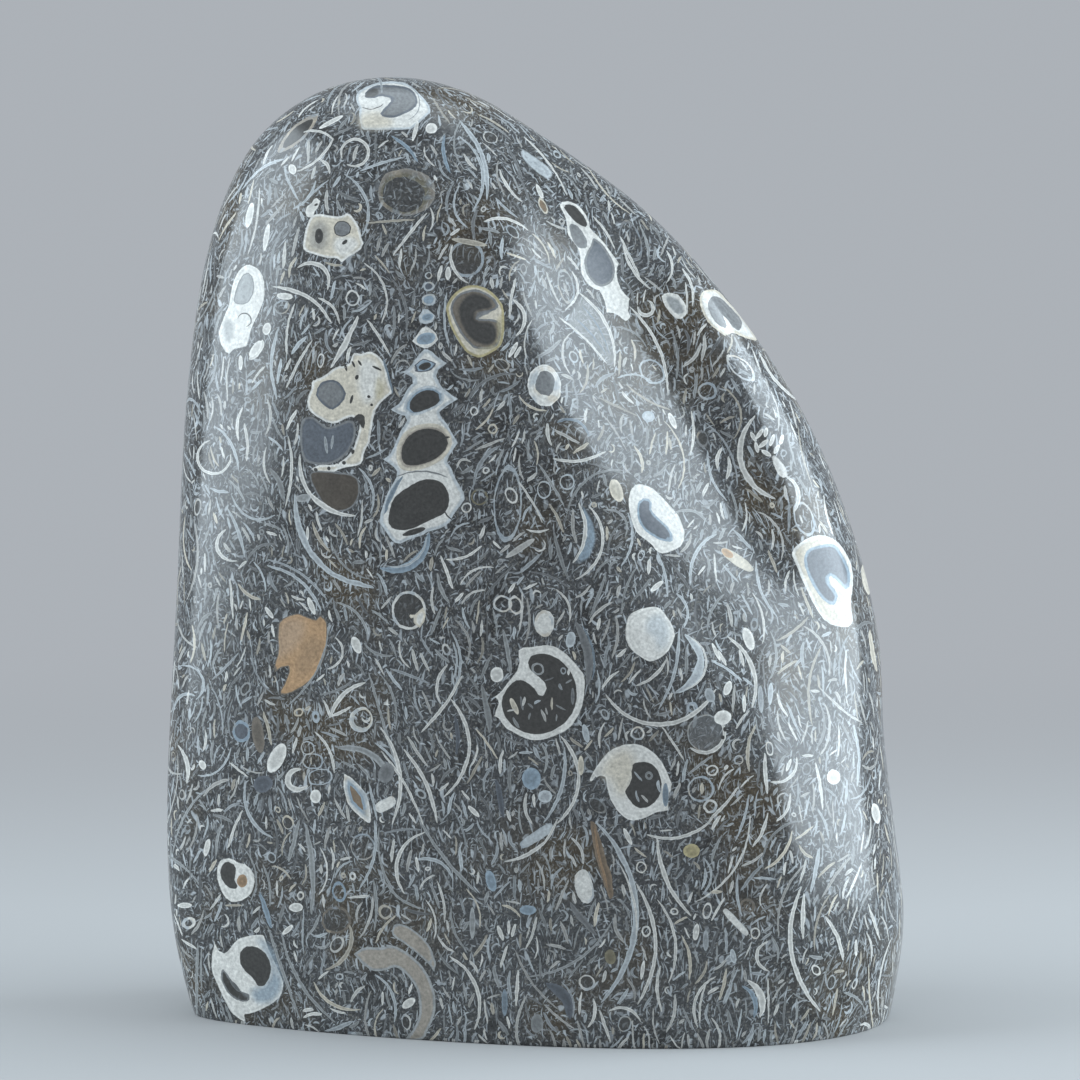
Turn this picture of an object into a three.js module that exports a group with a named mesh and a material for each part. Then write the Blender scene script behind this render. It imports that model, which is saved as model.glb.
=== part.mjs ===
// A freestanding polished freeform of turritella agate: one solid stone on a ground flat base.
// Millimetres, +Z up, +X to the stone's right, front face towards -Y.
// The origin is on the resting plane, under the centre of the stone's bounding box.
import * as THREE from 'three';
import { mergeVertices } from 'three/addons/utils/BufferGeometryUtils.js';

// ---- Driving dimensions -------------------------------------------------------------------

const CHAMFER = 0.4; // eased edge round the ground base

// Front outline as [x, z], from the left foot over the crown to the right foot.
const OUTLINE = [
  [-49.9, 0], [-52.8, 13], [-53.5, 31], [-51.9, 62], [-50.4, 89], [-47.2, 111],
  [-41.2, 125.6], [-32, 133.6], [-20.9, 136.2], [-10.2, 134.2], [0, 128.4], [15.3, 117.4],
  [26.6, 105.5], [37.6, 89.8], [45, 73.4], [49.7, 56], [50.7, 40], [52.7, 24],
  [53.7, 13], [51.8, 0],
];
const CROWN_AT = 0.475; // share of the outline's length, from the left foot, where the crown sits

const FRONT_DEPTH = 30; // furthest reach of the front face from the outline's plane
const BACK_DEPTH = 31; // the same for the back
const FRONT_DOME = 3.6; // how quickly the front swells out below the crown
const BACK_DOME = 3.0;
const FRONT_SKEW = 0.4; // pushes the fullest part of the front towards the right foot
const BACK_SKEW = -0.12;
const SKEW_SCALE = 0.94; // keeps the skewed front at FRONT_DEPTH
const BACK_FULLNESS = 0.82; // under 1 makes the back's section squarer than an ellipse

// Divisions of the starting block: across, front to back, and up.
const ACROSS = 30;
const THROUGH = 18;
const UP = 34;
const CAP_REACH = 0.24; // share of the way down from the crown that the block's top face covers

// ---- Relief of the two broad faces ----------------------------------------------------------

// Each feature lies along a straight line from one [x, z] point to another. It is at its full
// height halfway along, and dies away past the ends; 'left' and 'right' are how far it spreads
// to each side of the line, looking from its first point to its second.
const FRONT_RELIEF = [
  // the scoop below the right shoulder
  { from: [11, 114], to: [35, 62], height: -6, left: 6.5, right: 10.5 },
  // the terrace that steps down into it from the crown
  { from: [-3, 132], to: [15, 78], height: -2.8, left: 11, right: 6 },
  // the low fold that runs on from the scoop across the lower right
  { from: [3, 74], to: [30, 40], height: 2.1, left: 5, right: 11 },
  // the long swell down the middle
  { from: [-22, 122], to: [-10, 50], height: 1.4, left: 13, right: 15 },
  // the heel above the right foot
  { from: [33, 54], to: [38, 10], height: 1.8, left: 10, right: 13 },
  // the flattened stretch inside the left edge
  { from: [-33, 84], to: [-36, 12], height: -1.2, left: 12, right: 12 },
];
const BACK_RELIEF = [
  // a long scoop behind the left edge
  { from: [-14, 108], to: [-34, 44], height: -4.6, left: 13, right: 9 },
  // the ridge down the middle of the back
  { from: [-4, 116], to: [6, 28], height: 2.2, left: 10, right: 12 },
  // a hollow behind the right heel
  { from: [18, 68], to: [34, 20], height: -3.2, left: 10, right: 12 },
];
const EDGE_FADE = 0.55; // relief comes in over this share of the way in from the outline

// ---- Shape ------------------------------------------------------------------------------

const outline = new THREE.SplineCurve(OUTLINE.map(([x, z]) => new THREE.Vector2(x, z)));
outline.arcLengthDivisions = 2000;
const crownHeight = Math.max(...OUTLINE.map(([, z]) => z));

// The two ends of the section a given share of the way down from the crown (0) to the base (1).
function sectionEnds(down) {
  const left = outline.getPointAt(CROWN_AT * (1 - down));
  const right = outline.getPointAt(CROWN_AT + (1 - CROWN_AT) * down);
  return [left, right];
}

// How far a face stands out from the outline's plane, before its relief.
function faceDepth(down, cos, isFront) {
  const dome = isFront ? FRONT_DOME : BACK_DOME;
  const depth = isFront ? FRONT_DEPTH * SKEW_SCALE : BACK_DEPTH;
  const skew = (isFront ? FRONT_SKEW : BACK_SKEW) * THREE.MathUtils.smoothstep(down, 0.2, 1);
  return depth * (1 - (1 - down) ** dome) * (1 + skew * cos);
}

// The height of one relief feature at a point of the face.
function featureHeight(feature, x, z) {
  const [fromX, fromZ] = feature.from;
  const [toX, toZ] = feature.to;
  const length = Math.hypot(toX - fromX, toZ - fromZ);
  const alongX = (toX - fromX) / length;
  const alongZ = (toZ - fromZ) / length;
  const along = (x - fromX) * alongX + (z - fromZ) * alongZ;
  const across = (z - fromZ) * alongX - (x - fromX) * alongZ;
  const spread = across > 0 ? feature.left : feature.right;
  const fromMiddle = along / (length / 2) - 1;
  return feature.height * Math.exp(-((across / spread) ** 2) - fromMiddle ** 2);
}

// The height of all of a face's features together.
function reliefHeight(features, x, z) {
  return features.reduce((sum, feature) => sum + featureHeight(feature, x, z), 0);
}

// A point of the polished surface, from its share of the way down and its place round the
// section, given as the cosine and sine of the angle from the right end towards the back.
function surfacePoint(down, cos, sin) {
  const [left, right] = sectionEnds(down);
  const x = (left.x + right.x) / 2 + ((right.x - left.x) / 2) * cos;
  const z = (left.y + right.y) / 2 + ((right.y - left.y) / 2) * cos;
  const isFront = sin < 0;
  const settled = THREE.MathUtils.smoothstep(Math.abs(sin), 0, EDGE_FADE);
  const swell = THREE.MathUtils.smoothstep(down, 0, CAP_REACH);
  const relief = reliefHeight(isFront ? FRONT_RELIEF : BACK_RELIEF, x, z) * settled * swell;
  const round = isFront ? sin : Math.abs(sin) ** BACK_FULLNESS;
  const y = round * faceDepth(down, cos, isFront) + Math.sign(sin) * relief;
  return new THREE.Vector3(x, y, CHAMFER + z * (1 - CHAMFER / crownHeight));
}

// A point of the ground base: the foot of the wall, drawn in by the chamfer, then by 'share'.
function basePoint(cos, sin, share) {
  const foot = surfacePoint(1, cos, sin).setZ(0);
  const reach = foot.length();
  return foot.multiplyScalar((share * (reach - CHAMFER)) / reach);
}

// Presses a point of the starting block, whose sides lie at -1 and 1, onto the stone.
function pressed(block) {
  const discX = block.x * Math.sqrt(1 - block.y ** 2 / 2);
  const discY = block.y * Math.sqrt(1 - block.x ** 2 / 2);
  const radius = Math.hypot(discX, discY);
  const cos = radius > 0 ? discX / radius : 1;
  const sin = radius > 0 ? discY / radius : 0;
  if (block.z <= -1) {
    return basePoint(cos, sin, radius);
  }
  if (block.z >= 1) {
    return surfacePoint(CAP_REACH * radius, cos, sin);
  }
  // The lowest row of the block's sides is the chamfer, so the wall starts a row higher.
  const rowsUp = Math.max(0, (block.z + 1) * (UP / 2) - 1);
  return surfacePoint(1 - (1 - CAP_REACH) * (rowsUp / (UP - 1)), cos, sin);
}

// The closed surface of the stone, with its bounding box centred over the origin.
function stoneGeometry() {
  const block = new THREE.BoxGeometry(2, 2, 2, ACROSS, THROUGH, UP);
  block.deleteAttribute('normal');
  block.deleteAttribute('uv');
  const solid = mergeVertices(block);
  const place = solid.getAttribute('position');
  for (let index = 0; index < place.count; index += 1) {
    const point = pressed(new THREE.Vector3().fromBufferAttribute(place, index));
    place.setXYZ(index, point.x, point.y, point.z);
  }
  solid.computeBoundingBox();
  const middle = solid.boundingBox.getCenter(new THREE.Vector3());
  solid.translate(-middle.x, -middle.y, 0);
  solid.computeVertexNormals();
  return solid;
}

// ---- Assembly -----------------------------------------------------------------------------

const polishedAgate = new THREE.MeshStandardMaterial({
  color: 0x6b6864,
  roughness: 0.22,
  metalness: 0,
});

const stone = new THREE.Mesh(stoneGeometry(), polishedAgate);
stone.name = 'stone';

const group = new THREE.Group();
group.add(stone);

export default group;
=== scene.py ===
"""Turritella agate freeform: a polished stone full of cut snail shells, in a small pale studio.

The stone is one piece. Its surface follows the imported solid, and every shell that the polish
has cut through is drawn on it in true millimetres by the finish.
"""
import logging
import math
from dataclasses import dataclass
from enum import Enum

import bpy
import numpy as np
from bpy.types import Material, NodeSocket, Object
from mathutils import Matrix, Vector
from mathutils.kdtree import KDTree


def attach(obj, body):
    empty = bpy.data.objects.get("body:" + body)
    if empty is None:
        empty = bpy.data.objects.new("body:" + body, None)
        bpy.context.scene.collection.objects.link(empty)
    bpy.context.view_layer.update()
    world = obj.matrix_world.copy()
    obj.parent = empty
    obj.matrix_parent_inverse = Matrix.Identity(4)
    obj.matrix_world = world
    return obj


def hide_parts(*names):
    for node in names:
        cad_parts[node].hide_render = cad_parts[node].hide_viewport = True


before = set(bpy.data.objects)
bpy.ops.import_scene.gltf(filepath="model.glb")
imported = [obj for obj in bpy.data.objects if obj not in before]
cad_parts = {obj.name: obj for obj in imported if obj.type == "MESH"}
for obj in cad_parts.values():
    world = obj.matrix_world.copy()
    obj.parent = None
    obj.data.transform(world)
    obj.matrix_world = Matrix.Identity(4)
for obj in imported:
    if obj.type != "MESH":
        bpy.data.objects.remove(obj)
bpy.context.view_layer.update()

MM = 0.001
NODE = "stone"
BODY = "root"
WHOLE_LAYERS = 2  # how many whole shells may lie over one face of the mesh
PATCH_LAYERS = 4  # how many patches may
BROKEN_LAYERS = 6  # how many broken ones may
WHOLE_TURN = 720.0  # degrees; the sweep of a closed wall, which has no ends
SOLID_WALL = 1.35  # half-widths; a wall this thick leaves no hollow

Pair = tuple[float, float]
Triple = tuple[float, float, float]
Row = tuple[float, ...]

log = logging.getLogger("stone")


def linear(red: int, green: int, blue: int) -> Triple:
    """Turns a colour given with shares from 0 to 255 into linear light."""
    shares = (red / 255, green / 255, blue / 255)
    return tuple(s / 12.92 if s <= 0.04045 else ((s + 0.055) / 1.055) ** 2.4 for s in shares)


MUD = linear(65, 66, 67)


class Tint(Enum):
    """The colours that cut shells and their fillings take in this rock."""

    CHALK = linear(210, 209, 204)
    CREAM = linear(197, 190, 175)
    PEARL = linear(178, 184, 187)
    SKY = linear(137, 153, 165)
    ASH = linear(150, 153, 153)
    MIST = linear(116, 118, 119)
    SLATE = linear(90, 95, 102)
    STONE = linear(108, 101, 92)
    SMOKE = linear(64, 63, 61)
    TAN = linear(172, 140, 106)
    RUST = linear(122, 106, 88)
    FAWN = linear(152, 145, 135)
    LOAM = linear(78, 72, 65)
    OLIVE = linear(116, 110, 90)
    HONEY = linear(168, 158, 122)


CHALK, CREAM, PEARL, SKY, ASH, MIST, SLATE, STONE, SMOKE, TAN, RUST, FAWN, LOAM, OLIVE, HONEY = Tint


@dataclass(frozen=True)
class Cut:
    """One shell where the polish cuts through it. Lengths are in mm and angles in degrees.

    Its place is given on the upright plane through the middle of the stone, as the eye lines
    it up from in front. Angles run anticlockwise from the right.
    """

    across: float
    up: float
    wide: float  # half its outline's width
    tall: float  # half its outline's height
    turn: float = 0.0
    wall: float = 0.4
    heavy: float = 0.0  # how much the wall thickens on its heavy side, as a share of the wall
    heavy_side: float = 0.0
    sweep: float = WHOLE_TURN  # how far round the wall runs, centred on the right
    corner: float = 2.0  # 2 is an ellipse, less is pointed and more is boxy
    ragged: float = 0.08
    shell: Tint = CHALK
    lining: Tint = CHALK
    filling: Tint = SMOKE
    filled: float = 0.0
    strength: float = 1.0
    broken: bool = False  # a plain piece, with no lining, filling, corner or heavy side

    def closed(self) -> bool:
        """Tells whether its wall runs all the way round."""
        return self.sweep >= WHOLE_TURN

    def half_sweep(self) -> float:
        """Gives how far its wall runs from its middle either way, half a turn at most."""
        return math.radians(min(self.sweep, 360.0)) / 2

    def size(self) -> float:
        """Gives its mean half-width."""
        return (self.wide + self.tall) / 2


@dataclass(frozen=True)
class Patch:
    """A filled shape with an outline of its own, on the plane of Cut: a big shell or a hollow."""

    outline: tuple[Row, ...]  # mm; a point that ends with a 1 is a sharp corner
    tint: Tint
    rim: Tint
    rim_wide: float  # mm
    strength: float
    soft: float  # mm; how far its edge blurs
    open: bool  # True if small rubble may lie on it

    STEPS = 6  # short straight bits to each stretch between two points
    TINY = 1e-9  # keeps a bit with no length or no rise from dividing by nothing

    def edge(self) -> np.ndarray:
        """Draws its outline as a smooth closed curve through its points.

        Returns:
            The curve's points, in mm.
        """
        places = np.array([point[:2] for point in self.outline])
        sharp = [len(point) > 2 for point in self.outline]
        count = len(places)
        step = np.linspace(0, 1, self.STEPS, endpoint=False)[:, None]
        bits = []
        for index in range(count):
            start, end = places[index], places[(index + 1) % count]
            before = start if sharp[index] else places[index - 1]
            after = end if sharp[(index + 1) % count] else places[(index + 2) % count]
            leave, arrive = (end - before) / 2, (after - start) / 2
            bits.append(
                start * (2 * step**3 - 3 * step**2 + 1) + leave * (step**3 - 2 * step**2 + step)
                + end * (3 * step**2 - 2 * step**3) + arrive * (step**3 - step**2)
            )
        return np.concatenate(bits)

    @staticmethod
    def depth(edge: np.ndarray, points: np.ndarray) -> np.ndarray:
        """Measures how deep points lie inside the outline.

        Args:
            edge: The outline's points.
            points: The points to measure, on the same plane.

        Returns:
            Their distances to the outline in mm, below 0 where they lie outside it.
        """
        start, end = edge, np.roll(edge, -1, axis=0)
        along = end - start
        away = points[:, None, :] - start
        share = (away * along).sum(2) / (along * along).sum(1).clip(Patch.TINY)
        near = np.linalg.norm(away - share.clip(0, 1)[..., None] * along, axis=2).min(1)
        above = (start[:, 1] > points[:, None, 1]) != (end[:, 1] > points[:, None, 1])
        rise = np.where(along[:, 1] == 0, Patch.TINY, along[:, 1])
        meets = start[:, 0] + (points[:, None, 1] - start[:, 1]) / rise * along[:, 0]
        inside = (above & (points[:, None, 0] < meets)).sum(1) % 2 == 1
        return np.where(inside, near, -near)


@dataclass(frozen=True)
class Spot:
    """A place on the stone's surface, with the two directions that lie along it."""

    place: np.ndarray
    right: np.ndarray
    up: np.ndarray
    out: np.ndarray


def curves(tint: Tint, *rows: Row, strength: float = 0.85) -> list[Cut]:
    """Makes broken shells of one colour, which show as curved lines.

    Args:
        tint: Their colour.
        *rows: For each, where it starts, a point that it passes and where it ends, two numbers
            each, and then its greatest thickness. All in mm.
        strength: How far they cover the rock.

    Returns:
        The cuts, each a part of the ring that runs through its three points.
    """
    cuts = []
    nudge = 0.02  # mm; keeps three points off one straight line
    longer = 1.06  # the ends taper, so the ring runs a little past its points
    for ax, az, bx, bz, cx, cz, wall in rows:
        twice = 2 * (ax * (bz - cz) + bx * (cz - az) + cx * (az - bz))
        if abs(twice) < nudge:
            bx, twice = bx + nudge, twice + 2 * nudge * (cz - az)
        a2, b2, c2 = ax * ax + az * az, bx * bx + bz * bz, cx * cx + cz * cz
        hub = Vector((
            (a2 * (bz - cz) + b2 * (cz - az) + c2 * (az - bz)) / twice,
            (a2 * (cx - bx) + b2 * (ax - cx) + c2 * (bx - ax)) / twice,
        ))
        away = Vector((bx, bz)) - hub
        first = away.angle_signed(Vector((ax, az)) - hub)
        last = away.angle_signed(Vector((cx, cz)) - hub)
        heading = math.atan2(away.y, away.x) - (first + last) / 2
        radius = away.length
        cuts.append(Cut(
            hub.x + radius * math.cos(heading), hub.y + radius * math.sin(heading), radius, radius,
            turn=math.degrees(heading), wall=wall, shell=tint, strength=strength, broken=True,
            sweep=math.degrees(abs(first) + abs(last)) * longer,
        ))
    return cuts


def rings(
    tint: Tint, *rows: Row, inside: Tint | None = None, lining: Tint | None = None, **more: float
) -> list[Cut]:
    """Makes whole shells or chambers that look alike.

    Args:
        tint: The colour of their walls.
        *rows: For each, its middle, half its width and half its height in mm, how far it is
            turned in degrees, and the thickness of its wall in mm.
        inside: The colour of their fillings, or None where they hold the same rock.
        lining: The colour of their walls' inner sides, if that is another one.
        **more: Other fields of Cut.

    Returns:
        The cuts.
    """
    filled = more.pop("filled", 1.0 if inside else 0.0)
    return [
        Cut(
            *place, turn=turn, wall=wall, shell=tint, lining=lining or tint,
            filling=inside or SMOKE, filled=filled, **more,
        )
        for *place, turn, wall in rows
    ]


def chips(tint: Tint, *rows: Row, strength: float = 0.9) -> list[Cut]:
    """Makes solid bits of shell: each row gives a middle, a half-width, a half-height and a turn."""
    solid = {"shell": tint, "strength": strength, "broken": True}
    return [
        Cut(*place, turn=turn, wall=SOLID_WALL * sum(place[2:]) / 2, **solid) for *place, turn in rows
    ]


def patch(
    tint: Tint, *outline: Row, rim: Tint | None = None, rim_wide: float = 0.3,
    strength: float = 1.0, soft: float = 0.035, open: bool = False,
) -> Patch:
    """Makes a filled shape from the points of its outline, in mm on the plane of Cut."""
    return Patch(outline, tint, rim or tint, rim_wide, strength, soft, open)


@dataclass
class StoneBody:
    """The polished solid itself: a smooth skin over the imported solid, with its base left flat."""

    name: str = "stone_polished"
    weld: float = 1e-6
    smooth_levels: int = 2
    base_crease: float = 0.9
    sharp_angle: float = math.radians(38)
    uv_name: str = "OFBake"
    uv_gap: float = 0.004

    def build(self) -> Object:
        """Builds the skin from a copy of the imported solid.

        Returns:
            The finished piece, at the origin, with its place in its mesh.
        """
        bpy.ops.object.select_all(action="DESELECT")
        piece = bpy.data.objects.new(self.name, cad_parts[NODE].data.copy())
        piece.data.name = self.name
        piece.data.materials.clear()
        bpy.context.scene.collection.objects.link(piece)
        piece.select_set(True)
        bpy.context.view_layer.objects.active = piece
        self.weld_quads()
        self.mark_edges(piece)
        self.unwrap(piece)
        smooth = piece.modifiers.new("smooth", "SUBSURF")
        smooth.levels = smooth.render_levels = self.smooth_levels
        bpy.ops.object.modifier_apply(modifier=smooth.name)
        bpy.ops.object.shade_smooth_by_angle(angle=self.sharp_angle)
        return piece

    def weld_quads(self) -> None:
        """Joins the loose triangles into one skin of four-sided faces."""
        bpy.ops.object.mode_set(mode="EDIT")
        bpy.ops.mesh.select_all(action="SELECT")
        bpy.ops.mesh.remove_doubles(threshold=self.weld)
        bpy.ops.mesh.tris_convert_to_quads(face_threshold=math.pi, shape_threshold=math.pi)
        bpy.ops.object.mode_set(mode="OBJECT")

    def mark_edges(self, piece: Object) -> None:
        """Creases the foot of the wall and marks the seams of the two faces and the base.

        Args:
            piece: The welded skin.
        """
        mesh = piece.data
        places = [vertex.co for vertex in mesh.vertices]
        side_y = max(places, key=lambda place: place.x).y
        on_base = [place.z < self.weld for place in places]
        on_side = [abs(place.y - side_y) < self.weld for place in places]
        faces_of = {key: [] for key in mesh.edge_keys}
        for face in mesh.polygons:
            flat = all(on_base[index] for index in face.vertices)
            for key in face.edge_keys:
                faces_of[key].append(flat)
        crease = mesh.attributes.new("crease_edge", "FLOAT", "EDGE")
        for edge in mesh.edges:
            low, high = edge.vertices
            foot = len(set(faces_of[edge.key])) == 2
            side = on_side[low] and on_side[high] and not (on_base[low] and on_base[high])
            edge.use_seam = foot or side
            crease.data[edge.index].value = self.base_crease if foot else 0.0

    def unwrap(self, piece: Object) -> None:
        """Opens the skin along its seams into one flat map.

        Args:
            piece: The welded skin, with its seams marked.
        """
        for layer in list(piece.data.uv_layers):
            piece.data.uv_layers.remove(layer)
        piece.data.uv_layers.new(name=self.uv_name)
        bpy.ops.object.mode_set(mode="EDIT")
        bpy.ops.mesh.select_all(action="SELECT")
        bpy.ops.uv.unwrap(method="ANGLE_BASED", margin=self.uv_gap)
        bpy.ops.object.mode_set(mode="OBJECT")


class ShellBed:
    """Lays cut shells in the skin: each face's corners learn where they lie within a shell.

    Whole shells and broken ones have layers of their own, because a broken piece needs less.
    """

    VOXEL = 0.27  # mm; no two broken shells run through the same one
    MARGIN = 0.5  # mm; how far a shell claims faces beyond its own edge
    APRON = 0.15  # mm; how far a patch claims faces beyond its own blurred edge
    EDGE = 0.045  # mm; how soft a shell's edge looks
    FACING = 0.25  # least agreement between a face and the shell's own plane
    GRAZING = 0.06  # least agreement between a face and the line to the eye
    RIM = -0.35  # the same, for broken shells that have to keep off the placed ones
    BEHIND = -0.1  # the same, for patches, which close a little way behind the outline
    BULGE = 30.0  # mm; the radius that the stone's sides are taken to curve with there
    CLOSING = 1.2  # mm; how round a patch's corners are where it closes
    DENSE = 0.6  # voxels; how far apart the points are that a shell is spread with
    FLAT = 0.1  # where less than this of the upward direction is left, depth takes its place
    FAR = 9.0  # half-widths or mm; how far outside every shell a corner without one lies
    SEED = 41
    WHOLE = ("place", "form", "shell", "lining", "filling")
    PATCH = ("depth", "body", "rim")
    BROKEN = ("arc", "tone")

    def __init__(self, mesh: bpy.types.Mesh, eye: Vector) -> None:
        """Reads the skin.

        Args:
            mesh: The finished skin, all of four-sided faces.
            eye: Where the places in Cut are lined up from, in metres.
        """
        self.mesh = mesh
        self.eye = eye
        self.rng = np.random.default_rng(self.SEED)
        self.faces = len(mesh.polygons)
        ring = self.read(mesh.loops, "vertex_index", 1, np.int64)
        places, bent = (
            self.read(mesh.vertices, name, 3)[ring].reshape(self.faces, 4, 3)
            for name in ("co", "normal")
        )
        self.corners = places / MM
        self.slants = self.read(mesh.polygons, "normal", 3)
        areas = self.read(mesh.polygons, "area", 1)
        self.shares = np.cumsum(areas) / areas.sum()
        self.near = KDTree(self.faces)
        for index, middle in enumerate(self.corners.mean(1)):
            self.near.insert(middle, index)
        self.near.balance()
        self.ahead = self.line_up(self.corners)
        to_eye = np.array(eye) / MM - self.corners.mean(1)
        to_eye /= np.linalg.norm(to_eye, axis=1)[:, None]
        self.towards = (to_eye * self.slants).sum(1)
        self.leans = (to_eye[:, None] * bent).sum(2)
        self.crossing, self.planned, self.opened = set(), set(), set()
        self.laid = 0
        self.lost = 0
        layers = {self.WHOLE: WHOLE_LAYERS, self.PATCH: PATCH_LAYERS, self.BROKEN: BROKEN_LAYERS}
        self.taken = {kind: np.zeros((count, self.faces), bool) for kind, count in layers.items()}
        self.sheets = {
            name: np.zeros((*taken.shape, 4, 4), np.float32)
            for names, taken in self.taken.items() for name in names
        }
        self.sheets["place"][...] = (self.FAR, self.FAR, 2.0, 0.0)
        self.sheets["arc"][...] = (self.FAR, self.FAR, 0.0, 1.0)
        self.sheets["depth"][...] = (-self.FAR, 0.0, 0.0, 0.0)
        for name in ("form", "shell", "tone", "body", "rim"):
            self.sheets[name][..., 3] = 1.0

    @staticmethod
    def read(
        items: bpy.types.bpy_prop_collection, name: str, wide: int, kind: type = float
    ) -> np.ndarray:
        """Reads a field of a mesh's corners, points or faces.

        Args:
            items: The corners, points or faces.
            name: The field.
            wide: How many numbers it holds.
            kind: The kind of number.

        Returns:
            Its values, in rows if it holds more than one number.
        """
        values = np.empty(len(items) * wide, kind)
        items.foreach_get(name, values)
        return values.reshape(-1, wide) if wide > 1 else values

    def line_up(self, points: np.ndarray) -> np.ndarray:
        """Moves points along the eye's lines of sight to the upright plane.

        Args:
            points: The points, in mm.

        Returns:
            Their distances to the right and up on the plane, in mm.
        """
        eye = np.array(self.eye) / MM
        away = points - eye
        share = -eye[1] / away[..., 1:2]
        return (eye + away * share)[..., (0, 2)]

    def spot(self, place: np.ndarray, out: np.ndarray) -> Spot:
        """Sets up the two directions that lie along the surface at a place.

        Args:
            place: The place, in mm.
            out: The surface's outward direction there.

        Returns:
            The spot, with its first direction to the viewer's right and its second upwards.
        """
        up = np.array((0.0, 0.0, 1.0)) - out * out[2]
        if np.linalg.norm(up) < self.FLAT:
            up = np.array((0.0, 1.0, 0.0)) - out * out[1]
        up /= np.linalg.norm(up)
        return Spot(place, np.cross(up, out), up, out)

    def spot_anywhere(self) -> Spot:
        """Picks a spot on the skin at random, with every square millimetre as likely."""
        pick, first, second = self.rng.random(3)
        face = min(int(np.searchsorted(self.shares, pick)), self.faces - 1)
        a, b, c, d = self.corners[face]
        low, high = a + (b - a) * first, d + (c - d) * first
        return self.spot(low + (high - low) * second, self.slants[face])

    @staticmethod
    def axes(cut: Cut, spot: Spot) -> tuple[np.ndarray, np.ndarray, np.ndarray]:
        """Places a cut's own axes on the stone.

        Args:
            cut: The cut shell.
            spot: Where its middle lies, or the middle of its wall if it isn't closed.

        Returns:
            Its centre in mm, and the directions of its width and its height.
        """
        turn = math.radians(cut.turn)
        along = spot.right * math.cos(turn) + spot.up * math.sin(turn)
        over = spot.up * math.cos(turn) - spot.right * math.sin(turn)
        centre = spot.place - along * (0.0 if cut.closed() else cut.wide)
        return centre, along, over

    def points(self, cut: Cut, spot: Spot) -> np.ndarray:
        """Spreads points over a cut shell's wall, and over its filling if it has one.

        Args:
            cut: The cut shell.
            spot: Where it lies.

        Returns:
            The points, in mm.
        """
        centre, along, over = self.axes(cut, spot)
        half = cut.half_sweep()
        gap = self.VOXEL * self.DENSE
        angles = np.linspace(-half, half, max(3, math.ceil(2 * half * cut.wide / gap)))
        inner = 0.0 if cut.filled else max(0.0, 1 - cut.wall / cut.wide)
        rings = max(2, math.ceil((1 - inner) * cut.wide / gap))
        reach = np.linspace(inner, 1.0, rings)[:, None, None]
        rim = np.cos(angles)[:, None] * cut.wide * along + np.sin(angles)[:, None] * cut.tall * over
        return (centre + reach * rim).reshape(-1, 3)

    def cells(self, points: np.ndarray) -> set:
        """Lists the voxels, or the squares of the plane, that points fall in."""
        return set(map(tuple, np.floor(points / self.VOXEL).astype(int).tolist()))

    def plan(self, cut: Cut) -> bool:
        """Draws a cut shell at its own place, as the eye lines it up.

        Args:
            cut: The cut shell.

        Returns:
            True if a layer had room for it.
        """
        place = np.array((cut.across, 0.0, cut.up))
        spot = Spot(place, np.array((1.0, 0.0, 0.0)), np.array((0.0, 0.0, 1.0)), place)
        centre, along, over = (vector[[0, 2]] for vector in self.axes(cut, spot))
        faces = np.flatnonzero(self.towards > self.GRAZING)
        away = self.ahead[faces] - centre
        self.planned |= self.cells(self.points(cut, spot)[:, [0, 2]])
        return self.lay(cut, faces, away @ along / cut.wide, away @ over / cut.tall, True)

    def inlay(self, patch: Patch) -> bool:
        """Draws a patch at its own place, as the eye lines it up.

        Args:
            patch: The patch.

        Returns:
            True if a layer had room for it.
        """
        edge = patch.edge()
        apron = self.APRON + patch.soft
        low, high = edge.min(0) - apron, edge.max(0) + apron
        grid = np.stack(np.meshgrid(*(np.arange(a, b, self.VOXEL) for a, b in zip(low, high))), -1)
        grid = grid.reshape(-1, 2)
        inside = self.cells(grid[Patch.depth(edge, grid) > -self.VOXEL / 2])
        self.planned |= inside
        self.opened |= inside if patch.open else set()
        near = ((self.ahead.min(1) < high) & (self.ahead.max(1) > low)).all(1)
        faces = np.flatnonzero(near & (self.towards > self.BEHIND))
        depths = Patch.depth(edge, self.ahead[faces].reshape(-1, 2)).reshape(-1, 4) / self.CLOSING
        behind = (self.leans[faces] - self.BEHIND) * self.BULGE / self.CLOSING
        depths = -self.CLOSING * np.logaddexp(-depths, -behind)
        keep = depths.max(1) > -apron
        faces, depths = faces[keep], depths[keep]
        layer = self.claim(self.PATCH, faces, True)
        if layer is None:
            return False
        self.sheets["depth"][layer, faces] = (0.0, patch.rim_wide, patch.soft, patch.strength)
        self.sheets["depth"][layer, faces, :, 0] = depths
        self.sheets["body"][layer, faces] = (*patch.tint.value, 1.0)
        self.sheets["rim"][layer, faces] = (*patch.rim.value, 1.0)
        return True

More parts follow.
